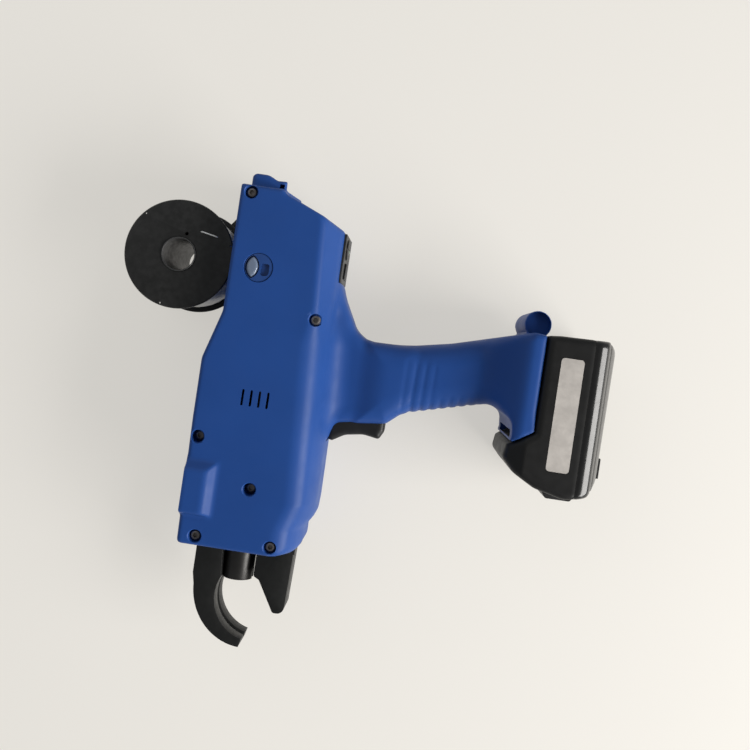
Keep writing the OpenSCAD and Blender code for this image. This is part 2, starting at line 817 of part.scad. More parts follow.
module lower_guide() {
  color(black)
    difference() {
      union() {
        slab([[lower_in, block_y0 - past, 1], [lower_in, lower_step_y, 2],
          [lower_in + 3.6, lower_step_y - 1.8, 2], [lower_tip_x, lower_tip_y, 2],
          [lower_side - past, lower_tip_y, 4], [lower_side, block_y0 - past, 2]],
          mid - lower_w / 2, mid + lower_w / 2);
        across(pivot_x, pivot_y, lower_root, mid - lower_w / 2, mid + lower_w / 2);
        mid_box(pivot_x - lower_root / 2, pivot_x + lower_root / 2, block_y0 - 2, pivot_y, lower_w);
      }
      across(pivot_x, pivot_y, guide_pin_d + 2 * pin_gap, -far, far);
      mid_box(0, lower_side - lower_back, -far, lower_groove_y, groove_w);
    }
}
module lower_guide_pin() {
  color(steel)
    across(pivot_x, pivot_y, guide_pin_d, mid - block_w / 2, mid + block_w / 2);
}

// Twister, gearbox and motor

bearing_d = 19;
bearing_w = 6;
hook_w = 2.4;
hook_in = 0.3;
hook_out = 5.2;
hook_y0 = -28;
hook_y1 = -12;
hook_eye_y = -23.5;
hook_eye_d = 4.4;
twist_head = 4;
module shaft_bearing() {
  color(steel)
    difference() {
      along(bearing_d, block_y1 - seat_t - bearing_w, block_y1 - seat_t);
      along(twist_d + 2 * pin_gap, -far, far);
    }
}
module twister_shaft() {
  color(steel)
    difference() {
      union() {
        along(twist_d, hook_y1, gearbox_y + 6);
        along(sleeve_bore - 2 * slide_gap, hook_y1 - twist_head, hook_y1 + 2);
      }
      mid_box(-far, far, -far, hook_y1, hook_w);
    }
}
module twister_hooks() {
  color(steel)
    for (m = [0, 1])
      mirror([m, 0, 0])
        difference() {
          slab([[hook_in, hook_y0, 0.4], [hook_out, hook_y0, 0.4], [hook_out, hook_y1, 0.4],
            [hook_in, hook_y1, 0.4]],
            mid - hook_w / 2 + fixed_gap / 2, mid + hook_w / 2 - fixed_gap / 2);
          across(hook_in, hook_eye_y, hook_eye_d, -far, far);
        }
}
module twist_gearbox() {
  color(grey)
    difference() {
      along(gearbox_d, gearbox_y, gearbox_y + gearbox_l);
      along(twist_d + 2 * pin_gap, -far, gearbox_y + 7);
    }
}
motor_y = gearbox_y + gearbox_l;
module twist_motor() {
  color(steel) {
    along(motor_d, motor_y, motor_y + motor_l);
    along(motor_d / 2.5, motor_y + motor_l - past, motor_y + motor_l + 4);
  }
}

// Wire feed

gear_r = gear_m * gear_n / 2;
pressure_angle = 20;
base_r = gear_r * cos(pressure_angle);
tip_r = gear_r + 0.78 * gear_m;
root_r = gear_r - 1.1 * gear_m;
backlash = 0.13;
flank_steps = 4;
function inv(r) = let (c = base_r / r) (tan(acos(c)) - acos(c) * PI / 180) * 180 / PI;
half_tooth = 90 / gear_n - backlash * 180 / PI / gear_r + inv(gear_r);
function flank_r(k) = base_r + (tip_r - base_r) * k / flank_steps;
function polar(r, a) = r * [cos(a), sin(a)];
gear_outline = [for (t = [0:gear_n - 1]) let (c = 360 * t / gear_n) each concat(
  [polar(root_r, c - half_tooth)],
  [for (k = [0:flank_steps]) polar(flank_r(k), c - half_tooth + inv(flank_r(k)))],
  [for (k = [flank_steps:-1:0]) polar(flank_r(k), c + half_tooth - inv(flank_r(k)))],
  [polar(root_r, c + half_tooth)])];
drive_x = -wire_x + gear_r;
press_x = -wire_x - gear_r;
wire_groove = 2;
module gear(bore) {
  difference() {
    translate([0, 0, mid - gear_w / 2])
      linear_extrude(gear_w)
        polygon(gear_outline);
    difference() {
      translate([0, 0, mid - wire_groove / 2])
        cylinder(r = 2 * gear_r, h = wire_groove);
      cylinder(r = root_r, h = far);
    }
    cylinder(d = bore, h = far);
  }
}
plate_z = mid - 6.6;
plate_t = 1.6;
plate_x0 = 28;
plate_x1 = 3;
plate_end = 5;
lever_x = press_x + 1;
lever_y = feed_y + 15;
lever_z = mid + gear_w / 2 + slide_gap;
lever_t = 3;
lever_pin_d = 4;
module feed_plate() {
  color(steel)
    difference() {
      box(-plate_x0, -plate_x1, block_y1 + fixed_gap, lever_y + plate_end, plate_z - plate_t,
        plate_z);
      across(drive_x, feed_y, axle_d + 2 * slide_gap, 0, far);
      across(lever_x, lever_y, lever_pin_d, 0, far);
      across(press_x, feed_y, axle_d + 6, 0, far);
    }
}
motor_z = 5;
module feed_motor() {
  color(steel)
    difference() {
      across(drive_x, feed_y, feed_motor_d, motor_z, plate_z - plate_t);
      across(drive_x, feed_y, axle_d + 2 * pin_gap, plate_z - plate_t - 6, far);
    }
}
module feed_shaft() {
  color(steel)
    across(drive_x, feed_y, axle_d, plate_z - plate_t - 5, mid + gear_w / 2 + 1);
}
module feed_gear() {
  color(steel)
    translate([drive_x, feed_y, 0])
      gear(axle_d);
}
module pressure_gear() {
  color(steel)
    translate([press_x, feed_y, 0])
      gear(axle_d + 2 * pin_gap);
}
arm_w = 7;
module pressure_lever() {
  color(grey) {
    across(press_x, feed_y, axle_d, mid - gear_w / 2 - 1, lever_z + past);
    difference() {
      union() {
        across(press_x, feed_y, arm_w, lever_z, lever_z + lever_t);
        across(lever_x, lever_y, arm_w, lever_z, lever_z + lever_t);
        box(press_x - arm_w / 2, press_x + arm_w / 2, feed_y, lever_y, lever_z, lever_z + lever_t);
      }
      across(lever_x, lever_y, lever_pin_d + 2 * pin_gap, 0, far);
    }
  }
}
module lever_pin() {
  color(steel)
    across(lever_x, lever_y, lever_pin_d, plate_z - plate_t, lever_z + lever_t + 1);
}
module lever_spring() {
  color(steel)
    translate([press_x, feed_y, lever_z + lever_t + 0.6])
      coil(2.6, spring_wire, 6, 3);
}
die_d = 11;
die_w = 12;
cutter_x = -wire_x;
cutter_y = 5;
cutter_d = 7;
cutter_slot = 2;
module cutter_die() {
  color(steel)
    difference() {
      across(cutter_x, cutter_y, die_d, mid - die_w / 2, mid + die_w / 2);
      across(cutter_x, cutter_y, cutter_d + 2 * pin_gap, 0, far);
      mid_box(cutter_x - cutter_slot / 2, cutter_x + cutter_slot / 2, -far, far, cutter_slot);
    }
}
module cutter() {
  color(grey)
    difference() {
      across(cutter_x, cutter_y, cutter_d, mid - die_w / 2, mid + die_w / 2);
      mid_box(cutter_x - cutter_slot / 2, cutter_x + cutter_slot / 2, -far, far, cutter_slot);
    }
}
tube_y0 = feed_y + 9;
tube_y1 = 84;
module wire_tube() {
  color(brass)
    translate([-wire_x, tube_y1, mid])
      rotate([90, 0, 0])
        difference() {
          cylinder(d = tube_d, h = tube_y1 - tube_y0);
          translate([0, 0, -past])
            cylinder(d = tube_bore, h = far);
        }
}
// Inlet bush set square in the slanted step
inlet_t = 0.4;
inlet_x = -top_front + (top_front - top_rear) * inlet_t;
inlet_y = step_from + (step_to - step_from) * inlet_t;
lead_turn = [-wire_x, tube_y1 + 4];
lead_to = [inlet_x, inlet_y] - lead_turn;
inlet_angle = atan2(lead_to[1], lead_to[0]);
inlet_d = 7;
inlet_l = 12;
module inlet_bar(d) {
  translate([inlet_x, inlet_y, mid])
    rotate([0, 0, inlet_angle])
      rotate([0, 90, 0])
        cylinder(d = d, h = inlet_l, center = true);
}
module inlet_cut() {
  inlet_bar(inlet_d + 2 * fixed_gap);
}
module wire_inlet() {
  color(steel)
    difference() {
      inlet_bar(inlet_d);
      inlet_bore();
    }
}
module inlet_bore() {
  translate([inlet_x, inlet_y, mid])
    rotate([0, 0, inlet_angle])
      rotate([0, 90, 0])
        cylinder(d = tube_d, h = far, center = true);
}
// Wire from behind the cutter, through the gears, tube and inlet to the reel
layer_r = wire_core_d / 2 + 0.3 + wire_d / 2;
lead_gap = 0.5;
lead_r = layer_r + wire_d + lead_gap;
from_hub = [inlet_x + spool_x, inlet_y - spool_y];
lead_span = norm(from_hub);
lead_a = atan2(from_hub[1], from_hub[0]) + acos(lead_r / lead_span);
lead_end = [-spool_x, spool_y] + lead_r * [cos(lead_a), sin(lead_a)];
lead_bend = 8;
lead_dir = unit(lead_to);
lead_out = [inlet_x, inlet_y] + (inlet_l / 2 + past) * lead_dir;
lead_on = unit(lead_end - lead_out);
lead_line = [[-wire_x, cutter_y + die_d / 2 + 1], [-wire_x, tube_y0], [-wire_x, tube_y1],
  lead_turn - [0, 2], lead_turn + 2 * lead_dir, [inlet_x, inlet_y] - 3 * lead_dir,
  lead_out, lead_end - lead_bend * lead_on, lead_end];
lead_sides = 8;
module wire_lead() {
  color(steel)
    tube_along([for (p = lead_line) [p[0], p[1], mid]], [for (p = lead_line) [0, 0, 1]],
      wire_d / 2, lead_sides);
}

// Controller board

board_z = mid + 14;
board_t = 1.6;
board_x0 = 4;
board_x1 = 21;
board_y0 = 150;
board_y1 = 186;
// Posts that carry the controller board
board_post_d = 5;
board_post_at = [[board_x0 + 3, board_y1 - 3], [board_x1 - 3, board_y1 - 3],
  [board_x1 - 3, board_y0 + 2.6]];
module board_posts() {
  for (b = board_post_at)
    across(b[0], b[1], board_post_d, board_z + board_t, housing_w - past);
}
module controller_board() {
  color([0.1, 0.4, 0.2])
    box(board_x0, board_x1, board_y0, board_y1, board_z, board_z + board_t);
}
module board_parts() {
  color(black) {
    across(board_x0 + 6, board_y0 + 8, 8, board_z + board_t, board_z + board_t + 11);
    box(board_x0 + 12, board_x1 - 2, board_y0 + 6, board_y0 + 18, board_z + board_t,
      board_z + board_t + 2);
    box(board_x0 + 4, board_x1 - 8, board_y1 - 16, board_y1 - 6, board_z + board_t,
      board_z + board_t + 5);
  }
}

// Terminals in the butt

blade_t = 0.8;
blade_z = [-12, 0, 12];
blade_y = 118;
terminal_y0 = tongue_y1 + battery_gap + 0.4;
terminal_y1 = 139;
blade_x0 = 151.5;
blade_x1 = 157;
module terminal_block() {
  color(black)
    difference() {
      mid_box(tongue_top, tongue_head, terminal_y0, terminal_y1 - past, tongue_w - 8);
      for (z = blade_z)
        box(blade_x0, blade_x1, 0, terminal_y1 - 2, mid + z - blade_t / 2, mid + z + blade_t / 2);
    }
}
module terminal_blades() {
  color(brass)
    for (z = blade_z)
      box(blade_x0, blade_x1, blade_y, terminal_y1 - 2, mid + z - blade_t / 2,
        mid + z + blade_t / 2);
}

// Reel bracket, hub, spool and wire

bracket_r = 17;
bracket_in = 2;
bracket_top = bracket_z + bracket_t;
hub_foot_d = 30;
hub_foot_t = 2;
spool_z = bracket_top + hub_foot_t + spool_gap;
spool_w = 2 * (mid - spool_z);
hub_end = spool_z + spool_w + 1;
bracket_outline = [[-spool_x - bracket_r, spool_y - 8, 12], [-spool_x - 8, spool_y - bracket_r, 9],
  [-spool_x + 12, spool_y - 18, 12], [-top_rear - 6, 134, 6], [bracket_in, 140, 3],
  [bracket_in, 172, 3], [-top_rear + 3, 176, 0], [-top_rear + 3, 194, 2], [-37, 194, 3],
  [-spool_x + 6, spool_y + 15.5, 12], [-spool_x - bracket_r, spool_y + 8, 12]];
module bracket_slot() {
  slab(inset(bracket_outline, -fixed_gap - 0.1), bracket_z - fixed_gap, bracket_top + fixed_gap);
}
module reel_bracket() {
  color(black)
    difference() {
      slab(bracket_outline, bracket_z, bracket_top);
      across(-spool_x, spool_y, hub_d + fixed_gap, -far, far);
      across(knob_x, knob_y, knob_shaft_d + 2 * pin_gap, -far, far);
    }
}
module reel_hub() {
  color(black)
    difference() {
      union() {
        across(-spool_x, spool_y, hub_d, bracket_z, hub_end);
        across(-spool_x, spool_y, hub_foot_d, bracket_top, bracket_top + hub_foot_t);
      }
      across(-spool_x, spool_y, hub_bore, -far, far);
    }
}
rim_hole_r = 27;
rim_hole_d = 2.6;
collar_d = 26.6;
module spool() {
  color(black)
    difference() {
      union() {
        across(-spool_x, spool_y, spool_d, spool_z, spool_z + flange_t);
        across(-spool_x, spool_y, spool_d, spool_z + spool_w - flange_t, spool_z + spool_w);
        across(-spool_x, spool_y, barrel_d, spool_z + past, spool_z + spool_w - past);
      }
      across(-spool_x, spool_y, hub_d + 2 * pin_gap, -far, far);
      translate([-spool_x, spool_y, spool_z + flange_t + 1])
        difference() {
          cylinder(d = barrel_d - 4, h = spool_w - 2 * flange_t - 2);
          cylinder(d = collar_d, h = spool_w);
        }
      for (a = [20, 110, 200, 290])
        translate([-spool_x, spool_y, 0])
          rotate([0, 0, a])
            translate([rim_hole_r, 0, -past])
              cylinder(d = rim_hole_d, h = far);
    }
}
core_end = spool_z + flange_t + fixed_gap;
core_top = spool_z + spool_w - flange_t - fixed_gap;
module wire_core() {
  color(steel)
    difference() {
      across(-spool_x, spool_y, wire_core_d, core_end, core_top);
      across(-spool_x, spool_y, barrel_d + 2 * fixed_gap, -far, far);
    }
}
wind_rings = 24;
wind_sides = 6;
wind_edge = 0.9;
wind_steps = wire_turns * wind_rings;
wind_span = core_top - core_end - 2 * wind_edge;
wind_pitch = wind_span / wire_turns;
function wind_a(i) = 360 * i / wind_rings;
wind_curve = [for (i = [0:wind_steps]) [layer_r * cos(wind_a(i)), layer_r * sin(wind_a(i)),
  core_end + wind_edge + wind_span * i / wind_steps]];
wind_first = wind_curve[0] - wire_d * unit(wind_curve[1] - wind_curve[0]);
wind_last = wind_curve[wind_steps]
  + wire_d * unit(wind_curve[wind_steps] - wind_curve[wind_steps - 1]);
wind_line = concat([wind_first], wind_curve, [wind_last]);
wind_up = [for (p = wind_line) unit([p[0], p[1], 0])];
wind_gap = min([for (i = [0:wind_rings - 1]) for (j = [wind_rings - 2:wind_rings + 2])
  norm(wind_curve[i] - wind_curve[i + j])]) - wire_d;
echo(wind_gap = wind_gap);
module wire_winding() {
  color(steel)
    translate([-spool_x, spool_y, 0])
      tube_along(wind_line, wind_up, wire_d / 2, wind_sides);
}

// Battery

battery_split = 189;
battery_top = butt_x + battery_gap;
battery_ridge = battery_x - 10.5;
battery_drop = 20;
toe_taper = 9;
toe_l = 11;
battery_edge_r = 4;
battery_y0 = 48;
battery_y1 = 146;
battery_outline = [[battery_top, lip_heel_y - battery_gap, 1], [lip_toe_x + 1, lip_toe_y, 1.5],
  [lip_toe_x - 0.2, 69.2, 4],
  [153, 61.8, 10], [166, 54.8, 16], [184, 50.5, 16], [battery_ridge + 3, 53.5, 12], [battery_x - 1.2, 62, 6],
  [battery_x, 140, 6], [battery_ridge + 3, 144, 4], [169, 143.2, 3], [battery_top, 139.2, 1]];
function battery_side(s) = [[lip_toe_x - 4, mid + s * (battery_w / 2 - toe_taper), 0],
  [lip_toe_x + toe_l, mid + s * battery_w / 2, 0], [battery_ridge, mid + s * battery_w / 2, 6],
  [battery_x, mid + s * (battery_w / 2 - battery_drop), 8]];
battery_section = concat(battery_side(-1), [for (i = [3:-1:0]) battery_side(1)[i]]);
battery_ends = [[battery_y0, mid - battery_w / 2, battery_edge_r],
  [battery_y1, mid - battery_w / 2, battery_edge_r],
  [battery_y1, mid + battery_w / 2, battery_edge_r],
  [battery_y0, mid + battery_w / 2, battery_edge_r]];
module battery_form(d) {
  intersection() {
    slab(inset(battery_outline, d), -far, far);
    bar_y(inset(battery_section, d), -far, far);
    bar_x(inset(battery_ends, d), -far, far);
  }
}
latch_x0 = 175;
latch_x1 = 194;
latch_y0 = 47;
latch_stem = 57;
contact_w = 2.6;
gauge_at = [154.4, 61.1];
gauge_w = 24;
module latch_form(g) {
  mid_box(latch_x0 - g, latch_x1 + g, latch_y0 - g, latch_stem + latch_travel, latch_w + 2 * g);
}
module gauge_form(g) {
  translate([gauge_at[0], gauge_at[1], mid])
    rotate([0, 0, -35])
      cube([7 + 2 * g, 2.4 + 2 * g, gauge_w + 2 * g], center = true);
}
module battery_shell() {
  difference() {
    union() {
      difference() {
        battery_form(0);
        battery_form(battery_wall);
      }
      intersection() {
        battery_form(fixed_gap);
        mid_box(latch_x0 - 3, latch_x1 + 3, 0, latch_stem + latch_travel + 2.4, latch_w + 6);
      }
    }
    latch_form(slide_gap);
    gauge_form(0);
    label_form(fixed_gap);
  }
}
module battery_upper_case() {
  color(black)
    difference() {
      union() {
        intersection() {
          battery_shell();
          box(-far, battery_split, -far, far, -far, far);
        }
        mid_box(tongue_top, tongue_head, tongue_y0, tongue_y1, tongue_w);
        mid_box(tongue_head - past, battery_top + past, tongue_y0, tongue_y1, neck_w);
      }
      for (z = blade_z)
        box(blade_x0 - slide_gap, blade_x1 + slide_gap, blade_y - 1, far,
          mid + z - contact_w / 2, mid + z + contact_w / 2);
    }
}
module battery_lower_case() {
  color(black)
    intersection() {
      battery_shell();
      box(battery_split, far, -far, far, -far, far);
    }
}
cell_fit = 0.2;
cell_pitch = cell_d + cell_fit;
cell_x = battery_top + battery_wall + cell_fit + cell_d / 2;
cell_y = 99.6;
module battery_cells() {
  color([0.2, 0.5, 0.4])
    for (x = [cell_x, cell_x + cell_pitch])
      for (k = [-1:1])
        translate([x, cell_y, mid + k * cell_pitch])
          rotate([90, 0, 0])
            cylinder(d = cell_d, h = cell_l, center = true);
}
leaf_t = 0.4;
module battery_contacts() {
  color(brass)
    for (z = blade_z)
      for (s = [-1, 1])
        box(blade_x0, blade_x1, blade_y + 3, tongue_y1 - 2,
          mid + z + s * (contact_w / 2 - leaf_t / 2) - leaf_t / 2,
          mid + z + s * (contact_w / 2 - leaf_t / 2) + leaf_t / 2);
}
label_t = 0.3;
label_x = 177.2;
label_y = 98.6;
// Labels lie flush in shallow recesses
module label_form(g) {
  for (z = [mid + battery_w / 2 - label_t, mid - battery_w / 2])
    translate([label_x - label_h / 2 - g, label_y - label_l / 2 - g, z])
      cube([label_h + 2 * g, label_l + 2 * g, label_t]);
}
module battery_labels() {
  color([0.75, 0.72, 0.7])
    label_form(0);
}
foot_h = 1.4;
foot_l = 12;
foot_w = 8;
foot_y = 69;
foot_z = 11;
module battery_feet() {
  color(black)
    difference() {
      for (z = [-foot_z, foot_z])
        box(battery_x - 3 * foot_h, battery_x + foot_h / 2, foot_y - foot_l / 2, foot_y + foot_l / 2,
          mid + z - foot_w / 2, mid + z + foot_w / 2);
      battery_form(0);
    }
}
module charge_gauge() {
  color([0.7, 0.1, 0.1])
    intersection() {
      gauge_form(-fixed_gap);
      battery_form(0);
    }
}
latch_hollow = 12;
latch_shoulder = 50;
module battery_latch() {
  color(black)
    difference() {
      slab([[latch_x0, latch_shoulder, 1], [latch_x0 + 2, latch_y0, 2], [latch_x1 - 2, latch_y0, 2],
        [latch_x1, latch_shoulder, 1], [latch_x1, latch_stem, 0], [latch_x0, latch_stem, 0]],
        mid - latch_w / 2, mid + latch_w / 2);
      translate([(latch_x0 + latch_x1) / 2, latch_stem - 4, mid])
        rotate([-90, 0, 0])
          cylinder(d = latch_hollow, h = far);
    }
}
module latch_spring() {
  color(steel)
    translate([(latch_x0 + latch_x1) / 2, latch_stem - 3.5, mid])
      rotate([-90, 0, 0])
        coil(4, spring_wire, 5.4, 3);
}

left_housing();
right_housing();
housing_screws();
control_panel();
status_lens();
power_switch();
tension_dial();
reel_lock_knob();
trigger();
trigger_spring();
trigger_switch();
nose_block();
upper_guide();
guide_liner();
nose_sleeve();
lower_guide();
lower_guide_pin();
shaft_bearing();
twister_shaft();
twister_hooks();
twist_gearbox();
twist_motor();
feed_plate();
feed_motor();
feed_shaft();
feed_gear();
pressure_lever();
lever_pin();
lever_spring();
pressure_gear();
cutter_die();
cutter();
wire_tube();
wire_inlet();
wire_lead();
controller_board();
board_parts();
terminal_block();
terminal_blades();
reel_bracket();
reel_hub();
spool();
wire_core();
wire_winding();
battery_upper_case();
battery_lower_case();
battery_cells();
battery_contacts();
battery_labels();
battery_feet();
charge_gauge();
battery_latch();
latch_spring();
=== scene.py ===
# Cordless rebar tying tool lying on its right side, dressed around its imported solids.
# The frame's axes: +X from the barrel down the handle to the battery, -Y out of the nose,
# +Z up out of the left side. Sizes are written in millimetres and set in metres.
import json
import math
import bmesh
import bpy
import numpy as np
import openvdb
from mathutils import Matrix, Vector


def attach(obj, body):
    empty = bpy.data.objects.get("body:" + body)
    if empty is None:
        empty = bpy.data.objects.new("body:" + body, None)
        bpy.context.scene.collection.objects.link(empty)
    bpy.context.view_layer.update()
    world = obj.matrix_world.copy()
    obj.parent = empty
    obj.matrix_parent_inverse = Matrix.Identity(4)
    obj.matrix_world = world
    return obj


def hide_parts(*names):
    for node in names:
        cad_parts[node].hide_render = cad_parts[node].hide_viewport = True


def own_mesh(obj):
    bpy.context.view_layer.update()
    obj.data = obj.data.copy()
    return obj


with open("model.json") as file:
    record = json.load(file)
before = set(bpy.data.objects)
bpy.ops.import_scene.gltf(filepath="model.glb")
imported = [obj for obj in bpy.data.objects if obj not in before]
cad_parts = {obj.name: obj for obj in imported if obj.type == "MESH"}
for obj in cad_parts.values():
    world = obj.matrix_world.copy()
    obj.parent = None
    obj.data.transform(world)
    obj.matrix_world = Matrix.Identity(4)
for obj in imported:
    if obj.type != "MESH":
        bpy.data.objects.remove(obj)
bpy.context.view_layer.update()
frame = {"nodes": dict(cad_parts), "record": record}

# Table, light and camera
# A pale painted table under soft window light from the lower right of the picture.
# The camera hangs half a metre above the handle root, its lens shifted to frame the whole tool.
MM = 0.001
PICTURE_WIDTH = 750.0
SHIFT_RIGHT_PIXELS = -37.0
SHIFT_UP_PIXELS = -25.0
CAMERA_PLACE = (0.0857, 0.1227, 0.504)
CAMERA_TURN = 8.5
WALL_LIGHT = 0.46
CEILING_LIGHT = 0.16
SEEN_LIGHT = 0.95
camera_data = bpy.data.cameras.new("camera")
camera_data.sensor_width = 36.0
camera_data.lens = 36.384
camera_data.clip_start = 0.01
camera_data.shift_x = SHIFT_RIGHT_PIXELS / PICTURE_WIDTH
camera_data.shift_y = SHIFT_UP_PIXELS / PICTURE_WIDTH
camera = bpy.data.objects.new("camera", camera_data)
camera.location = CAMERA_PLACE
camera.rotation_euler = (0.0, 0.0, math.radians(CAMERA_TURN))
bpy.context.scene.collection.objects.link(camera)
bpy.context.scene.camera = camera
bpy.context.scene.view_settings.view_transform = "Standard"

world = bpy.data.worlds.new("room")
world.use_nodes = True
bpy.context.scene.world = world
sky = world.node_tree
background = sky.nodes["Background"]
background.inputs["Color"].default_value = (0.96, 0.98, 1.0, 1.0)
way = sky.nodes.new("ShaderNodeTexCoord")
upward = sky.nodes.new("ShaderNodeSeparateXYZ")
sky.links.new(way.outputs["Generated"], upward.inputs[0])
walls = sky.nodes.new("ShaderNodeMapRange")
walls.inputs["To Min"].default_value = WALL_LIGHT
walls.inputs["To Max"].default_value = CEILING_LIGHT
sky.links.new(upward.outputs["Z"], walls.inputs["Value"])
path = sky.nodes.new("ShaderNodeLightPath")
seen = sky.nodes.new("ShaderNodeMath")
seen.operation = "MAXIMUM"
sky.links.new(path.outputs["Is Camera Ray"], seen.inputs[0])
sky.links.new(path.outputs["Is Transmission Ray"], seen.inputs[1])
level = sky.nodes.new("ShaderNodeMapRange")
sky.links.new(walls.outputs["Result"], level.inputs["To Min"])
level.inputs["To Max"].default_value = SEEN_LIGHT
sky.links.new(seen.outputs[0], level.inputs["Value"])
sky.links.new(level.outputs["Result"], background.inputs["Strength"])


def soft_lamp(name, place, aim, size, watts, colour):
    data = bpy.data.lights.new(name, "AREA")
    data.shape = "RECTANGLE"
    data.size, data.size_y = size
    data.energy = watts
    data.color = colour
    lamp = bpy.data.objects.new(name, data)
    lamp.location = place
    lamp.rotation_euler = (Vector(aim) - Vector(place)).to_track_quat("-Z", "Y").to_euler()
    bpy.context.scene.collection.objects.link(lamp)


soft_lamp("window", place=(1.35, -0.3, 0.72), aim=(0.07, 0.1, 0.03), size=(1.2, 0.7),
          watts=33.0, colour=(1.0, 0.98, 0.95))
soft_lamp("far_wall", place=(-0.7, 0.9, 0.9), aim=(0.07, 0.1, 0.0), size=(1.2, 1.2),
          watts=2.5, colour=(0.96, 0.98, 1.0))


def new_piece(name, mesh, finish, smooth_angle=32.0):
    piece = bpy.data.objects.new(name, mesh)
    bpy.context.scene.collection.objects.link(piece)
    mesh.materials.clear()
    mesh.materials.append(finish)
    mesh.shade_smooth()
    mesh.set_sharp_from_angle(angle=math.radians(smooth_angle))
    return piece


def noise(tree, scale, detail=3.0, stretch=None):
    coords = tree.nodes.new("ShaderNodeTexCoord")
    texture = tree.nodes.new("ShaderNodeTexNoise")
    texture.inputs["Scale"].default_value = scale
    texture.inputs["Detail"].default_value = detail
    source = coords.outputs["Object"]
    if stretch:
        mapping = tree.nodes.new("ShaderNodeMapping")
        mapping.inputs["Scale"].default_value = stretch
        tree.links.new(source, mapping.inputs["Vector"])
        source = mapping.outputs["Vector"]
    tree.links.new(source, texture.inputs["Vector"])
    return texture.outputs["Fac"]


def spread(tree, value, low, high, to_low, to_high):
    node = tree.nodes.new("ShaderNodeMapRange")
    node.inputs["From Min"].default_value = low
    node.inputs["From Max"].default_value = high
    node.inputs["To Min"].default_value = to_low
    node.inputs["To Max"].default_value = to_high
    tree.links.new(value, node.inputs["Value"])
    return node.outputs["Result"]


def blend_colours(tree, factor, first, second):
    node = tree.nodes.new("ShaderNodeMix")
    node.data_type = "RGBA"
    tree.links.new(factor, node.inputs["Factor"])
    for socket, colour in ((node.inputs[6], first), (node.inputs[7], second)):
        if isinstance(colour, bpy.types.NodeSocket):
            tree.links.new(colour, socket)
        else:
            socket.default_value = (*colour, 1.0)
    return node.outputs[2]


def product(tree, first, second):
    node = tree.nodes.new("ShaderNodeMath")
    node.operation = "MULTIPLY"
    tree.links.new(first, node.inputs[0])
    tree.links.new(second, node.inputs[1])
    return node.outputs[0]


def surface(name, colour, rough, metal=0.0, mottle=0.1, cloud=45.0, grain=1800.0, depth=0.02,
            edge_wear_and_sheen=None, edge_share=0.5, rough_spread=0.07, stretch=None, coat=0.0, specular=0.35):
    """A finish with clouded colour, uneven gloss, a fine grain and convex edges blended to an edge colour:
    rubbed wear on most finishes, a painted edge highlight on the blue moulding.
    """
    material = bpy.data.materials.new(name)
    material.use_nodes = True
    tree = material.node_tree
    shader = tree.nodes["Principled BSDF"]
    shader.inputs["Metallic"].default_value = metal
    shader.inputs["Specular IOR Level"].default_value = specular
    shader.inputs["Coat Weight"].default_value = coat
    clouds = noise(tree, cloud, 4.0)
    dark = tuple(c * (1.0 - mottle) for c in colour)
    light = tuple(min(1.0, c * (1.0 + mottle)) for c in colour)
    tone = blend_colours(tree, spread(tree, clouds, 0.3, 0.7, 0.0, 1.0), dark, light)
    gloss = spread(tree, noise(tree, cloud * 5.0, 5.0, stretch), 0.3, 0.7,
                   rough - rough_spread, rough + rough_spread)
    tree.links.new(gloss, shader.inputs["Roughness"])
    # Convex edges blend toward the edge colour: rubbed wear on metal and black plastic, a painted edge
    # highlight on the blue moulding.
    if edge_wear_and_sheen:
        edges = tree.nodes.new("ShaderNodeNewGeometry")
        edge_mask = spread(tree, edges.outputs["Pointiness"], 0.53, 0.62, 0.0, edge_share)
        patches = spread(tree, noise(tree, cloud * 4.0, 6.0), 0.38, 0.62, 0.15, 1.0)
        tone = blend_colours(tree, product(tree, edge_mask, patches), tone, edge_wear_and_sheen)
    tree.links.new(tone, shader.inputs["Base Color"])
    bump = tree.nodes.new("ShaderNodeBump")
    bump.inputs["Strength"].default_value = 0.35
    bump.inputs["Distance"].default_value = depth * MM
    tree.links.new(noise(tree, grain, 2.0, stretch), bump.inputs["Height"])
    tree.links.new(bump.outputs["Normal"], shader.inputs["Normal"])
    return material


TABLE_REACH = 3.0
TABLE_GAP = 0.1
TABLE_GLOW = 0.6
table_corners = [(TABLE_REACH * x, TABLE_REACH * y, 0.0) for x, y in ((-1, -1), (1, -1), (1, 1), (-1, 1))]
table_mesh = bpy.data.meshes.new("table")
table_mesh.from_pydata(table_corners, [], [(0, 1, 2, 3)])
table_paint = surface("table_paint", (0.80, 0.775, 0.73), 0.55, mottle=0.012, cloud=3.0,
                      grain=300.0, depth=0.03, rough_spread=0.03)
paint = table_paint.node_tree
sight = paint.nodes.new("ShaderNodeLightPath")
looks = paint.nodes.new("ShaderNodeMath")
looks.operation = "MAXIMUM"
paint.links.new(sight.outputs["Is Camera Ray"], looks.inputs[0])
paint.links.new(sight.outputs["Is Glossy Ray"], looks.inputs[1])
share = paint.nodes.new("ShaderNodeMath")
share.operation = "MULTIPLY"
share.inputs[1].default_value = TABLE_GLOW
through = paint.nodes.new("ShaderNodeMath")
through.operation = "MAXIMUM"
paint.links.new(looks.outputs[0], through.inputs[0])
paint.links.new(sight.outputs["Is Transmission Ray"], through.inputs[1])
paint.links.new(through.outputs[0], share.inputs[0])
glow = paint.nodes.new("ShaderNodeEmission")
glow.inputs["Color"].default_value = (0.90, 0.87, 0.81, 1.0)
layers = paint.nodes.new("ShaderNodeMixShader")
paint.links.new(share.outputs[0], layers.inputs["Fac"])
paint.links.new(paint.nodes["Principled BSDF"].outputs[0], layers.inputs[1])
paint.links.new(glow.outputs[0], layers.inputs[2])
paint.links.new(layers.outputs[0], paint.nodes["Material Output"].inputs["Surface"])
table = new_piece("table", table_mesh, table_paint)
table.location.z = -TABLE_GAP * MM

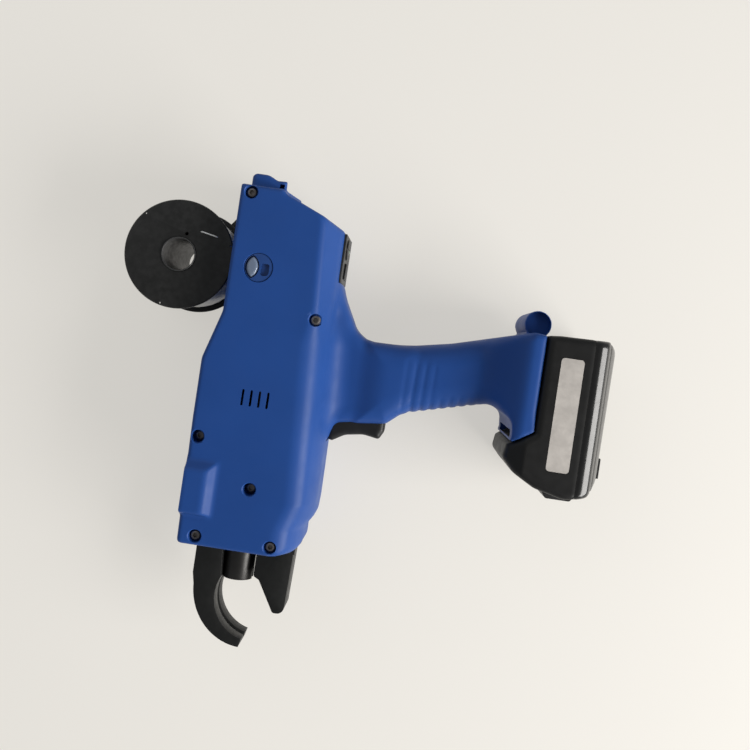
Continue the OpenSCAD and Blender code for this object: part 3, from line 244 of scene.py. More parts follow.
# Nose block, sleeve and jaws
# A black-oxide steel block in the mouth of the housing carries the round sleeve and the fixed upper jaw.
# The lower jaw swings on a steel pin through the block, and a steel liner lies in the upper jaw.
body_of = {node: body for body, nodes in frame["record"]["behaviour"]["bodies"].items() for node in nodes}


def take_place(piece, *nodes):
    """The piece stands for these nodes, on their body, and the nodes are hidden."""
    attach(piece, body_of[nodes[0]])
    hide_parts(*nodes)
    return piece


def eased(name, node, finish, edge, steps=2, corner=30.0):
    """A node's own shape with its sharp edges eased, as a machined or moulded piece has them."""
    shape = bmesh.new()
    shape.from_mesh(frame["nodes"][node].data)
    bmesh.ops.remove_doubles(shape, verts=shape.verts, dist=0.002 * MM)
    bmesh.ops.dissolve_limit(shape, angle_limit=math.radians(0.5), verts=shape.verts, edges=shape.edges)
    sharp = [e for e in shape.edges
             if len(e.link_faces) == 2 and e.calc_face_angle(0.0) > math.radians(corner)]
    bmesh.ops.bevel(shape, geom=sharp, offset=edge * MM, segments=steps, profile=0.5,
                    affect="EDGES", clamp_overlap=True)
    bmesh.ops.triangulate(shape, faces=[f for f in shape.faces if len(f.verts) > 4])
    mesh = bpy.data.meshes.new(name)
    shape.to_mesh(mesh)
    shape.free()
    return take_place(new_piece(name, mesh, finish, 40.0), node)


black_oxide = surface("black_oxide", (0.0125, 0.013, 0.0125), 0.45, metal=0.2, mottle=0.12, cloud=70.0,
                      grain=2200.0, depth=0.03)
phosphate = surface("dark_phosphate", (0.035, 0.034, 0.033), 0.36, metal=0.7, mottle=0.12, cloud=90.0,
                    grain=2500.0, depth=0.025)
turned_steel = surface("turned_steel", (0.55, 0.55, 0.56), 0.3, metal=1.0, mottle=0.12, cloud=120.0,
                       grain=1500.0, depth=0.01, stretch=(1.0, 9.0, 1.0), rough_spread=0.1)
eased("nose_casting", "nose_block", black_oxide, 0.6)
eased("jaw_upper", "upper_guide", black_oxide, 0.7)
eased("jaw_lower", "lower_guide", black_oxide, 0.7)
eased("nose_tube", "nose_sleeve", phosphate, 0.5)
eased("jaw_liner", "guide_liner", turned_steel, 0.15)
eased("jaw_pin", "lower_guide_pin", turned_steel, 0.3)

# Twisting drive
# Two hardened hooks in a turned shaft, a ball bearing, a die-cast gearbox and a steel motor can.
# They lie in line in the barrel behind the nose block.
cast_metal = surface("die_cast", (0.42, 0.42, 0.43), 0.5, metal=1.0, mottle=0.15, cloud=80.0,
                     grain=900.0, depth=0.05, edge_wear_and_sheen=(0.7, 0.7, 0.7))
motor_can = surface("zinc_plated_can", (0.20, 0.20, 0.21), 0.32, metal=1.0, mottle=0.1, cloud=60.0,
                    grain=1400.0, depth=0.01, stretch=(1.0, 8.0, 1.0))


def coat_nodes(finish, *nodes):
    """Nodes whose own shape is right keep it and take this finish."""
    for node in nodes:
        materials = frame["nodes"][node].data.materials
        materials.clear()
        materials.append(finish)


coat_nodes(turned_steel, "twister_shaft", "twister_hooks", "shaft_bearing")
coat_nodes(cast_metal, "twist_gearbox")
coat_nodes(motor_can, "twist_motor", "feed_motor")

# Wire feed and cutter
# A pressed steel plate carries a grooved drive gear on its motor and a sprung lever with the pressure gear.
# A rotary cutter sits in its die, and a brass tube leads the wire in from the bush in the top.
brass = surface("brass", (0.62, 0.44, 0.16), 0.32, metal=1.0, mottle=0.12, cloud=90.0,
                grain=1600.0, depth=0.01)
wire_metal = surface("galvanised_wire", (0.72, 0.72, 0.71), 0.38, metal=0.7, mottle=0.15, cloud=260.0,
                     grain=2600.0, depth=0.015, rough_spread=0.12)
coat_nodes(turned_steel, "feed_plate", "feed_shaft", "feed_gear", "pressure_gear", "lever_pin",
           "lever_spring", "cutter_die", "wire_inlet")
coat_nodes(phosphate, "pressure_lever", "cutter")
coat_nodes(brass, "wire_tube")
coat_nodes(wire_metal, "wire_lead")

# Trigger, its spring and switch
# A satin black moulding with a finger hollow, sliding in a slot between the housing halves.
# A steel coil presses it forward, away from a sealed switch in the handle root.
MID = 37.0
TRIGGER_HALF = 8.5
TRIGGER_SPRING_X = 61.0
TRIGGER_SPRING_SEAT = 86.0
SPRING_WELL_RADIUS = 4.2


def rounded(corners, steps=6):
    """Outline with each corner [x, y, radius] rounded."""
    points = []
    count = len(corners)
    for i, (x, y, radius) in enumerate(corners):
        here = np.array([x, y], float)
        back = np.array(corners[i - 1][:2], float) - here
        ahead = np.array(corners[(i + 1) % count][:2], float) - here
        back /= np.linalg.norm(back)
        ahead /= np.linalg.norm(ahead)
        half = math.acos(max(-1.0, min(1.0, float(back @ ahead)))) / 2
        if radius == 0 or abs(half - math.pi / 2) < 0.01:
            points.append(here)
            continue
        bisect = back + ahead
        middle = here + bisect / np.linalg.norm(bisect) * radius / math.sin(half)
        start = here + back * radius / math.tan(half) - middle
        end = here + ahead * radius / math.tan(half) - middle
        a = math.atan2(start[1], start[0])
        sweep = (math.atan2(end[1], end[0]) - a + math.pi) % (2 * math.pi) - math.pi
        for k in range(steps + 1):
            t = a + sweep * k / steps
            points.append(middle + radius * np.array([math.cos(t), math.sin(t)]))
    return np.array(points)


def from_outline(points, x, y):
    """Distance of x, y from a closed outline, below zero inside it."""
    best, inside = None, None
    for (ax, ay), (bx, by) in zip(points, np.roll(points, -1, axis=0)):
        ex, ey = bx - ax, by - ay
        px, py = x - ax, y - ay
        t = np.clip((px * ex + py * ey) / max(ex * ex + ey * ey, 1e-12), 0.0, 1.0)
        gap = (px - t * ex) ** 2 + (py - t * ey) ** 2
        crosses = ((ay > y) != (by > y)) & ((px * ey < py * ex) if ey > 0 else (px * ey > py * ex))
        best = gap if best is None else np.minimum(best, gap)
        inside = crosses if inside is None else inside ^ crosses
    return np.where(inside, -1.0, 1.0) * np.sqrt(best)


def meet(a, b, ease):
    """Where both forms are, with the edge between them eased."""
    if np.ndim(ease) == 0 and ease == 0:
        return np.maximum(a, b)
    return np.maximum(a, b) + np.maximum(ease - np.abs(a - b), 0.0) ** 2 / (4 * ease)


def join(a, b, ease):
    """Both forms together, with the corner between them filled."""
    return -meet(-a, -b, ease)


def skin(form, low, high, step, settle=2):
    """The closed surface of a form as points in millimetres and quads; settle draws it onto the form."""
    low = np.array(low, float)
    axes = [np.arange(a, b + step, step) for a, b in zip(low, high)]
    x, y, z = axes[0][:, None, None], axes[1][None, :, None], axes[2][None, None, :]
    values = np.broadcast_to(form(x, y, z), [len(a) for a in axes])
    grid = openvdb.FloatGrid(background=4.0 * step)
    grid.copyFromArray(np.ascontiguousarray(values, np.float32))
    points, _, quads = grid.convertToPolygons(isovalue=0.0, adaptivity=0.0)
    points = points.astype(float) * step + low
    for _ in range(settle):
        value = form(*points.T)
        slope = np.zeros_like(points)
        for k in range(3):
            shift = np.zeros(3)
            shift[k] = 0.02
            slope[:, k] = (form(*(points + shift).T) - form(*(points - shift).T)) / 0.04
        length = np.maximum((slope ** 2).sum(1), 0.2)
        move = slope * (value / length)[:, None]
        size = np.linalg.norm(move, axis=1, keepdims=True)
        points -= move * np.minimum(1.0, 0.6 * step / np.maximum(size, 1e-9))
    return points, quads[:, ::-1]


def mesh_of(name, *shells):
    """One mesh in metres from (points, faces) shells in millimetres."""
    points, faces = [], []
    for shell, polygons in shells:
        offset = len(points)
        points.extend((np.asarray(shell, float) * MM).tolist())
        faces.extend([[int(i) + offset for i in f] for f in polygons])
    mesh = bpy.data.meshes.new(name)
    mesh.from_pydata(points, [], faces)
    mesh.validate()
    shape = bmesh.new()
    shape.from_mesh(mesh)
    bmesh.ops.recalc_face_normals(shape, faces=shape.faces)
    shape.to_mesh(mesh)
    shape.free()
    return mesh


satin_black = surface("satin_black", (0.011, 0.011, 0.0115), 0.44, mottle=0.12, cloud=60.0,
                      grain=2600.0, depth=0.03, edge_wear_and_sheen=(0.06, 0.06, 0.06), edge_share=0.5)
trigger_outline = rounded([[41.6, 62.2, 1], [45.5, 61, 1.2], [53, 65.6, 12], [64, 67.4, 14],
                           [73.6, 65.8, 2], [76.3, 71, 2.5], [76.3, 89, 1], [44, 89, 1], [42, 70, 3]])


def trigger_form(x, y, z):
    """The finger lever with the well for its spring."""
    form = meet(from_outline(trigger_outline, x, y), np.abs(z - MID) - TRIGGER_HALF, 4.0)
    from_spring = np.hypot(x - TRIGGER_SPRING_X, z - MID)
    spring_well = np.maximum(from_spring - SPRING_WELL_RADIUS, TRIGGER_SPRING_SEAT - y)
    return np.maximum(form, -spring_well)


def coil_spring(name, node):
    """A coil with the node's own shape, on the node's body, in a mesh of its own."""
    coil = take_place(new_piece(name, frame["nodes"][node].data.copy(), turned_steel, 60.0), node)
    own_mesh(coil)


finger_mesh = mesh_of("trigger_lever", skin(trigger_form, (39, 58, 26), (79, 92, 48), 0.7))
take_place(new_piece("trigger_lever", finger_mesh, satin_black), "trigger")
coil_spring("trigger_coil", "trigger_spring")
coat_nodes(satin_black, "trigger_switch")

# Controller board and terminals
# A green circuit board on posts in the rear of the barrel, and brass blades in a block in the butt.
board_green = surface("solder_mask", (0.02, 0.16, 0.06), 0.35, mottle=0.2, cloud=300.0,
                      grain=1200.0, depth=0.05)
coat_nodes(board_green, "controller_board")
coat_nodes(satin_black, "board_parts", "terminal_block")
coat_nodes(brass, "terminal_blades")

# Housing halves
# Two blue glass-filled nylon mouldings, split down the middle and held by six screws.
# The moulded skin has a fine spark-eroded grain, with finger ribs round the front of the handle.
HALF_WIDTH = MID
LEFT_FACE = MID + HALF_WIDTH
PAST_FACE = 84.0
WALL = 2.5
SEAM = 0.08
barrel_outline = rounded([[-31, -5.5, 2.5], [37.4, -5.9, 6.5], [37.2, 8.0, 4], [42.4, 15.8, 8],
                          [42.4, 62, 14], [36.5, 129, 40], [36.5, 186, 3], [2.5, 200, 2],
                          [0, 202.5, 1.5], [-24.3, 202.5, 1.2], [-24.3, 129, 10], [-32.3, 101, 12],
                          [-32.3, 66, 40]])
root_outline = rounded([[24, 65, 0], [42.5, 65, 0], [46.5, 72.5, 6], [76, 77.5, 3], [84, 85, 4], [88, 121, 4],
                        [74, 122.9, 8], [60.7, 122.4, 9], [50.4, 129.6, 14], [37.6, 154.2, 3], [24, 157, 0]])
handle_outline = rounded([[60, 76.5, 0], [76, 77.5, 3], [83, 83, 5], [128, 94.9, 14], [136.5, 97.6, 8],
                          [148.6, 91.4, 8], [149.6, 81, 4], [146.4, 76.9, 0.8], [161.6, 86.4, 0.6],
                          [161.6, 142.4, 1.5], [154.4, 143.2, 3], [109.4, 130.2, 60], [74, 122.9, 6],
                          [60, 122.9, 0]], 8)
hump_outline = rounded([[-20.3, 192, 0], [1.2, 192, 0], [0.6, 208.5, 0.8], [-5.5, 208.2, 4], [-11, 210.8, 7],
                        [-20.4, 210.8, 3]])
RIDGE_Y = [-6, 9, 25, 64, 110, 190]
RIDGE_X = [29.0, 29.3, 34.6, 32.6, 30.2, 25.8]
SLOPE_ACROSS = 0.86
SLOPE_UP = 0.51
ROOT_HALF = 15.5
ROOT_GROWTH = 3.8
HANDLE_HALF = 17.5
BUTT_FLARE = 18.0
RIB_START = 84.0
RIB_PITCH = 5.7
RIB_DEPTH = 0.55
HUMP_HALF = 30.0
LUG = (157.0, 148.5)
LUG_RADIUS = 8.0
LUG_HALF = 22.0
BULGE_TOP = 78.5
BULGE_BACK_X = -31.4
BULGE_EDGE_X = -13.5
BULGE_NOSE_Y = 11.6
BULGE_REAR_Y = 43.2
KNOB = np.array([-7.5, 156.1])


def ease_in(low, high, value):
    """Rises smoothly from 0 at low to 1 at high."""
    t = np.clip((value - low) / (high - low), 0.0, 1.0)
    return t * t * (3.0 - 2.0 * t)


def handle_form(x, y, z):
    """The handle, widening to the butt, with finger ribs that fade out towards both ends."""
    side = np.abs(z - MID)
    across = from_outline(handle_outline, x, y)
    half = HANDLE_HALF + BUTT_FLARE * ease_in(127.0, 156.0, x)
    ease = 15.0 - 9.0 * ease_in(126.0, 148.0, x) - 2.5 * ease_in(150.0, 159.0, x)
    lip = (1.0 - ease_in(86.0, 98.0, y)) * ease_in(140.0, 147.0, x)
    form = meet(across, side - half, ease * (1.0 - lip) + 1.6 * lip)
    front = ease_in(-9.0, -2.0, across) * (y < 106) * ease_in(82.0, 86.0, x) * (1 - ease_in(126.0, 132.0, x))
    flank = ease_in(9.0, 13.0, side) * ease_in(82.0, 85.0, x) * (1 - ease_in(97.0, 108.0, x)) \
        * (1 - ease_in(112.0, 121.0, y))
    wave = 0.5 + 0.5 * np.cos(2 * math.pi * (x - RIB_START - 0.02 * (y - 92.0)) / RIB_PITCH)
    return form + RIB_DEPTH * wave ** 2 * np.maximum(front, 0.6 * flank)


def case_form(x, y, z):
    """Barrel with its long chamfer, flowing through the root into the handle."""
    side = np.abs(z - MID)
    rooted = ease_in(72.0, 86.0, y) * (1.0 - ease_in(118.0, 138.0, y))
    swell = ROOT_GROWTH * rooted * ease_in(0.0, 20.0, x)
    barrel = meet(from_outline(barrel_outline, x, y) - swell, side - HALF_WIDTH, 3.0)
    slope = (x - np.interp(y, RIDGE_Y, RIDGE_X)) * SLOPE_ACROSS + (side - HALF_WIDTH) * SLOPE_UP
    form = meet(barrel, slope, 3.0 + 4.5 * (1.0 - ease_in(112.0, 140.0, y)))
    root = meet(from_outline(root_outline, x, y), side - ROOT_HALF, 9.0)
    form = join(form, root, 6.0 + 5.0 * ease_in(6.0, 15.0, side) * rooted)
    return join(form, handle_form(x, y, z), 6.0)


def housing_form(x, y, z):
    """The case with the rear hump, which recedes with depth, and the lug behind the butt."""
    side = np.abs(z - MID)
    recede = 0.2 * np.maximum(HUMP_HALF - side, 0.0) * ease_in(-9.0, -3.0, x)
    hump = meet(from_outline(hump_outline, x + recede, y), side - HUMP_HALF, 3.5)
    form = join(case_form(x, y, z), hump, 1.6)
    lug = meet(np.hypot(x - LUG[0], y - LUG[1]) - LUG_RADIUS, side - LUG_HALF, 1.6)
    return join(form, lug, 2.0)


def bulge_form(x, y, z):
    """Raised corner over the feed gears, with sloping sides."""
    over = z - LEFT_FACE
    inner = (x - BULGE_EDGE_X) * 0.669 + over * 0.743
    form = meet(meet(BULGE_BACK_X - x, inner, 1.0), z - BULGE_TOP, 1.4)
    rear = (y - BULGE_REAR_Y) * 0.669 + np.maximum(over, -1.0) * 0.743
    nose = (BULGE_NOSE_Y - y) * 0.914 + np.maximum(over, -1.0) * 0.406
    return meet(meet(form, meet(rear, nose, 1.0), 1.0), 25.0 - z, 1.0)


def shell_form(x, y, z):
    return join(housing_form(x, y, z), bulge_form(x, y, z), 1.2)


# Each screw: x, y, height of its lower end, foot of its post, how much deeper it sits
SCREWS = [(-17.8, 198.1, 12.0, 0.0, 0.0), (28.8, 131.3, 12.0, 0.0, 0.0), (-27.5, 56.3, 12.0, 0.0, 3.5),
          (5.9, 30.6, 46.5, 45.0, 3.5), (-20.9, 0.0, 47.0, 0.0, 0.0), (22.3, -0.5, 47.0, 0.0, 0.0)]
SCREW_SEAT = 69.0
POST_RADIUS = 4.0
POST_HEAD_RADIUS = 5.6
POST_HEAD_FOOT = 65.0
KNOB_SEAT_RADIUS = 11.0
KNOB_SEAT_FOOT = 66.0


def hollow_form(x, y, z):
    """The room inside, around the screw posts and the seat of the lock knob."""
    form = case_form(x, y, z) + WALL
    form = np.minimum(form, np.maximum(bulge_form(x, y, z) + WALL, 36.0 - z))
    for screw_x, screw_y, _, foot, _ in SCREWS:
        from_screw = np.hypot(x - screw_x, y - screw_y)
        post = np.minimum(np.maximum(from_screw - POST_RADIUS, foot - z),
                          np.maximum(from_screw - POST_HEAD_RADIUS, POST_HEAD_FOOT - z))
        form = np.maximum(form, -post)
    from_knob = np.hypot(x - KNOB[0], y - KNOB[1])
    return np.maximum(form, -np.maximum(from_knob - KNOB_SEAT_RADIUS, KNOB_SEAT_FOOT - z))


def prism_faces(count):
    """Two ends of count points each and the walls between them."""
    walls = [(i, (i + 1) % count, count + (i + 1) % count, count + i) for i in range(count)]
    return [tuple(range(count))[::-1], tuple(range(count, 2 * count))] + walls


def slab(outline, z0, z1):
    """Prism across the tool from an outline."""
    return [(x, y, z) for z in (z0, z1) for x, y in outline], prism_faces(len(outline))


def block(x0, x1, y0, y1, z0, z1):
    return slab([(x0, y0), (x1, y0), (x1, y1), (x0, y1)], z0, z1)


def mid_block(x0, x1, y0, y1, width):
    """Block centred on the parting plane."""
    return block(x0, x1, y0, y1, MID - width / 2, MID + width / 2)


def turned(profile, centre, sides=48):
    """Closed upright solid of revolution about centre: profile is (radius, height)."""
    points, rings = [], []
    for radius, height in profile:
        ring = []
        for k in range(sides if radius > 0 else 1):
            a = 2 * math.pi * k / sides
            points.append((radius * math.cos(a) + centre[0], radius * math.sin(a) + centre[1], height))
            ring.append(len(points) - 1)
        rings.append(ring)
    faces = []
    for a, b in zip(rings, rings[1:]):
        for k in range(sides):
            quad = [a[k % len(a)], a[(k + 1) % len(a)], b[(k + 1) % len(b)], b[k % len(b)]]
            quad = list(dict.fromkeys(quad))
            if len(quad) > 2:
                faces.append(quad)
    for ring, flip in ((rings[0], True), (rings[-1], False)):
        if len(ring) > 1:
            faces.append(ring[::-1] if flip else ring)
    return points, faces


def carve(mesh, *steps):
    """Cuts, keeps or adds whole solids in turn: each step is (what to do, shells)."""
    body = bpy.data.objects.new("carving", mesh)
    bpy.context.scene.collection.objects.link(body)
    tools = []
    for operation, shells in steps:
        tool = bpy.data.objects.new("cutter", shells if isinstance(shells, bpy.types.Mesh)
                                    else mesh_of("cutter", *shells))
        bpy.context.scene.collection.objects.link(tool)
        tools.append(tool)
        change = body.modifiers.new("cut", "BOOLEAN")
        change.operation = operation
        change.solver = "MANIFOLD"
        change.object = tool
    bpy.context.view_layer.update()
    done = bpy.data.meshes.new_from_object(body.evaluated_get(bpy.context.evaluated_depsgraph_get()))
    for thing in [body] + tools:
        bpy.data.objects.remove(thing)
    return done


def capsule(x, y, width, length, steps=8):
    """Slot outline along Y with round ends."""
    r, reach = width / 2, (length - width) / 2
    ends = [(x + r * math.cos(t), y + reach + r * math.sin(t)) for t in np.linspace(0, math.pi, steps)]
    return ends + [(2 * x - px, 2 * y - py) for px, py in ends]


bracket_outline = rounded([[-75, 150.2, 12], [-66, 141.2, 9], [-46, 140.2, 12], [-30.3, 134, 6], [2, 140, 3],
                           [2, 172, 3], [-21.3, 176, 0], [-21.3, 194, 2], [-37, 194, 3], [-52, 173.7, 12],
                           [-75, 166.2, 12]])


def grown(outline, by):
    """Outline moved outward."""
    area = sum(a[0] * b[1] - a[1] * b[0] for a, b in zip(outline, np.roll(outline, -1, axis=0)))
    moved = []
    for i in range(len(outline)):
        before, after = outline[i] - outline[i - 1], outline[(i + 1) % len(outline)] - outline[i]
        way = before / max(np.linalg.norm(before), 1e-9) + after / max(np.linalg.norm(after), 1e-9)
        way /= np.linalg.norm(way)
        moved.append(outline[i] + by * math.copysign(1.0, area) * np.array([way[1], -way[0]]))
    return np.array(moved)


STEP_START = np.array([-31.0, 105.0])
STEP_RUN = np.array([6.7, 24.0])
inlet_at = STEP_START + STEP_RUN * 0.4
TUBE_END = np.array([-17.5, 88.0])
lead_way = (inlet_at - TUBE_END) / np.linalg.norm(inlet_at - TUBE_END)


def angled_rod(middle, way, radius, length, sides=32):
    """Round bar in the parting plane, centred on middle and pointing along way."""
    side = np.array([-way[1], way[0]])
    points = []
    for end in (-0.5, 0.5):
        for k in range(sides):
            a = 2 * math.pi * k / sides
            p = middle + way * end * length + side * radius * math.cos(a)
            points.append((p[0], p[1], MID + radius * math.sin(a)))
    return points, prism_faces(sides)


HOUSING_LOW = (-36, -8, -2)
HOUSING_HIGH = (168, 216, 81)
VENT_Y = 82.0
VENTS_X = (-5.6, -0.8, 4.0, 8.8)
outer = mesh_of("housing_outer", skin(shell_form, HOUSING_LOW, HOUSING_HIGH, 1.15))
hollow = mesh_of("housing_hollow", skin(hollow_form, HOUSING_LOW, HOUSING_HIGH, 1.9, settle=0))
bores = [turned([(3.7, SCREW_SEAT - sink), (3.7, 73.5), (4.3, 74.1), (4.3, PAST_FACE)], (x, y))
         for x, y, _, _, sink in SCREWS]
shanks = [turned([(2.1, 10.0), (2.1, SCREW_SEAT + 0.5)], screw[:2], sides=20) for screw in SCREWS]
vents = [slab(capsule(x, VENT_Y, 1.5, 9.4), z0, z1)
         for x in VENTS_X for z0, z1 in ((-4, 6), (68, PAST_FACE))]
knob_pit = [turned([(3.1, 30.0), (3.1, 70.5), (8.35, 70.5), (8.35, 73.7), (8.6, 74.05), (8.6, PAST_FACE)],
                   KNOB)]
trigger_slot = [mid_block(41, 77, 60.4, 92, 17.8)]
nose_pocket = [mid_block(-27.1, 34.6, -20, 10.1, 34.2)]
panel_recess = [mid_block(35.5, 60, 155.9, 185.1, 34.2)]
panel_window = [mid_block(30, 40, 159, 182, 28)]
rail_slot = [mid_block(149.2, 158.9, 40, 134.4, 48.8)]
rail_mouth = [mid_block(157.4, 165, 40, 134.4, 40.8)]
bracket_slot = [slab(grown(bracket_outline, 0.2), 4.9, 10.6)]
inlet_hole = [angled_rod(inlet_at, lead_way, 3.6, 13.0)]
jaw_slot = [mid_block(34, 60, -20, -1.5, 18.8)]
gear_room = [turned([(6.7, 31.0), (6.7, 43.0)], (-24.2, 27.1))]
hump_notch = [block(-3.9, -0.8, 203.6, 206.2, 61, 80)]
lug_bores = [turned([(7.4, 53.0), (7.4, 58.7), (7.6, 59.0), (7.6, 64)], LUG),
             turned([(7.6, 10.0), (7.6, 15.0), (7.4, 15.3), (7.4, 21.0)], LUG)]
housing_cuts = [hollow, bores, shanks, vents, knob_pit, trigger_slot, nose_pocket, panel_recess,
                panel_window, rail_slot, rail_mouth, bracket_slot, inlet_hole, jaw_slot, gear_room,
                hump_notch, lug_bores]
# The blue's edge colour is a lighter blue: a painted highlight along its convex edges.
blue_moulding = surface("blue_moulding", (0.0165, 0.066, 0.265), 0.44, mottle=0.06, cloud=22.0,
                        grain=2400.0, depth=0.035, edge_wear_and_sheen=(0.10, 0.19, 0.50), edge_share=0.35,
                        rough_spread=0.05, specular=0.18)
whole = carve(outer, *[("DIFFERENCE", cut) for cut in housing_cuts])
for name, node, low, high in (("housing_left", "left_housing", MID + SEAM, 120.0),
                              ("housing_right", "right_housing", -40.0, MID - SEAM)):
    half = carve(whole.copy(), ("INTERSECT", [block(-200, 400, -200, 400, low, high)]))
    take_place(new_piece(name, half, blue_moulding, 34.0), node)
screw_zinc = surface("screw_zinc", (0.20, 0.185, 0.18), 0.36, metal=0.85, mottle=0.15, cloud=200.0,
                     grain=1500.0)
screws = [turned([(2.0, end), (2.0, 69.05 - sink), (2.75, 69.05 - sink), (2.75, 71.2 - sink),
                  (2.45, 71.75 - sink), (1.9, 72.0 - sink), (0, 72.0 - sink)], (x, y), sides=32)
          for x, y, end, _, sink in SCREWS]
HEX_RADIUS = 1.5
hex_angles = np.linspace(0.2, 0.2 + 2 * math.pi, 7)[:6]
hexes = [slab([(x + HEX_RADIUS * math.cos(a), y + HEX_RADIUS * math.sin(a)) for a in hex_angles],
              70.2 - sink, 80) for x, y, _, _, sink in SCREWS]
heads = carve(mesh_of("case_screws", *screws), ("DIFFERENCE", hexes))
take_place(new_piece("case_screws", heads, screw_zinc), "housing_screws")

# Control panel
# A satin black moulded plate let into the rear underside, held between the housing halves.
# It carries a rocker on a pin, a tension dial and a clear green status lens.
PANEL_BACK = 37.2
PANEL_SINK = 0.45
ROCKER_PIN_X = 36.8
ROCKER_PIN_ROOM = 1.25


def set_back(piece):
    """The front of the piece sits a little deeper in the recess, still clear of the rocker's pin."""
    for vertex in piece.data.vertices:
        from_pin = math.hypot(vertex.co.x - ROCKER_PIN_X * MM, vertex.co.z - MID * MM)
        if vertex.co.x > PANEL_BACK * MM and from_pin > ROCKER_PIN_ROOM * MM:
            vertex.co.x -= PANEL_SINK * MM


set_back(eased("panel_plate", "control_panel", satin_black, 0.5))
lens_green = surface("lens_green", (0.05, 0.42, 0.12), 0.12, mottle=0.08, cloud=200.0,
                     grain=600.0, depth=0.01, coat=0.5)
eased("rocker", "power_switch", satin_black, 0.3)
set_back(eased("tension_knob", "tension_dial", satin_black, 0.3))
set_back(eased("status_light", "status_lens", lens_green, 0.5))

# Reel lock knob
# A glossy blue moulding in a round recess, with a pointed oval grip set into its face; the grip's pale
# grey-blue is a painted reflection of light on its domed top.
# Its long stem turns in the housing, a quarter turn to free the reel.
GRIP = KNOB + np.array([-3.6, 0.0])
knob_blue = surface("knob_blue", (0.018, 0.058, 0.21), 0.2, mottle=0.08, cloud=90.0, grain=900.0,
                    depth=0.01, coat=0.3)
# The grip's pale grey-blue colour is a painted reflection on its glossy top.
grip_painted_sheen = surface("grip_painted_sheen", (0.15, 0.19, 0.27), 0.22, mottle=0.1, cloud=160.0, grain=900.0,
                    depth=0.01, coat=0.4)


def pointed_oval(half_width, half_length, steps=10):
    """Outline of the grip: two arcs meeting in a point at each end."""
    radius = (half_length ** 2 + half_width ** 2) / (2 * half_width)
    reach = math.asin(half_length / radius)
    arc = [(radius * math.cos(t) - radius + half_width, radius * math.sin(t))
           for t in np.linspace(-reach, reach, steps)]
    return np.array(arc + [(-x, -y) for x, y in arc[1:-1]] + [(-arc[0][0], -arc[0][1])])[:-1] + GRIP


grip_outline = pointed_oval(3.3, 5.9)
GRIP_TOP = 74.3
GRIP_FOOT = 71.0


def grip_form(x, y, z):
    return meet(from_outline(grip_outline, x, y), np.maximum(z - GRIP_TOP, GRIP_FOOT - z), 1.6)


disc = turned([(2.95, 8.6), (2.95, 70.9), (8.0, 70.9), (8.2, 71.1), (8.2, 73.2), (7.9, 73.5), (7.4, 73.6),
               (0, 73.6)], KNOB, sides=64)
pocket_outline = rounded([[1.4, -4.3, 1.4], [6.2, -4.3, 2.2], [6.2, 2.6, 1.4], [1.4, 2.6, 1.0]]) + KNOB
knob = carve(mesh_of("lock_knob", disc), ("DIFFERENCE", [slab(pointed_oval(4.1, 6.8), 71.5, 80)]),
             ("DIFFERENCE", [slab(pocket_outline, 71.7, 80)]))
take_place(new_piece("lock_knob", knob, knob_blue), "reel_lock_knob")
grip_mesh = mesh_of("lock_grip", skin(grip_form, (-16, 148, 70), (-6, 164, 76), 0.35))
grip = new_piece("lock_grip", grip_mesh, grip_painted_sheen, 60.0)
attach(grip, body_of["reel_lock_knob"])

# Reel bracket, hub and spool
# A black plate from the side of the barrel carries the hub, and the moulded spool turns on it.
# The spool holds about a hundred metres of galvanised tie wire.
eased("bracket_arm", "reel_bracket", satin_black, 0.8, 3)
# The hub is lighter than the spool's black, partly its own grey and partly painted light on its inner wall.
hub_grey_and_painted_light = surface("hub_grey_and_painted_light", (0.055, 0.055, 0.055), 0.4, mottle=0.1, cloud=90.0, grain=1600.0, depth=0.02)
spool_black = surface("spool_black", (0.0125, 0.0125, 0.012), 0.4, mottle=0.1, cloud=70.0, grain=1600.0,
                      depth=0.03, edge_wear_and_sheen=(0.08, 0.08, 0.08), edge_share=0.5)
AXIS = np.array([-58.0, 158.2])
RIM_HOLE_REACH = 30.7
ANCHOR_HOLE = (-55.0, 170.7)
hub = turned([(10.1, 5.0), (10.1, 10.5), (15.0, 10.5), (15.0, 12.2), (14.7, 12.5), (10.1, 12.5),
              (10.1, 60.2), (9.8, 60.5)], AXIS, sides=64)
hub_bore = turned([(9.9, 3.0), (9.3, 6.0), (9.3, 59.9), (9.6, 60.3), (9.6, 64.0)], AXIS, sides=64)
hub_mesh = carve(mesh_of("hub_tube", hub), ("DIFFERENCE", [hub_bore]))
take_place(new_piece("hub_tube", hub_mesh, hub_grey_and_painted_light), "reel_hub")
flanges = turned([(31.5, 14.5), (32.0, 15.0), (32.0, 16.1), (31.6, 16.5), (13.2, 16.5), (13.2, 57.5),
                  (31.6, 57.5), (32.0, 57.9), (32.0, 59.0), (31.5, 59.5)], AXIS, sides=128)
spool_bore = turned([(10.9, 10.0), (10.9, 15.0), (10.25, 15.7), (10.25, 59.2), (10.4, 59.5),
                     (10.4, 64.0)], AXIS, sides=64)
rim_holes = [turned([(0.6, 50.0), (0.6, 64.0)],
                    AXIS + RIM_HOLE_REACH * np.array([math.cos(a), math.sin(a)]), sides=16)
             for a in np.radians([17, 137, 257])]
anchor_hole = turned([(1.1, 50.0), (1.1, 64.0)], ANCHOR_HOLE, sides=24)
spool_mesh = carve(mesh_of("wire_spool", flanges), ("DIFFERENCE", [spool_bore]),
                   ("DIFFERENCE", rim_holes), ("DIFFERENCE", [anchor_hole]))
take_place(new_piece("wire_spool", spool_mesh, spool_black), "spool")
coat_nodes(wire_metal, "wire_core")


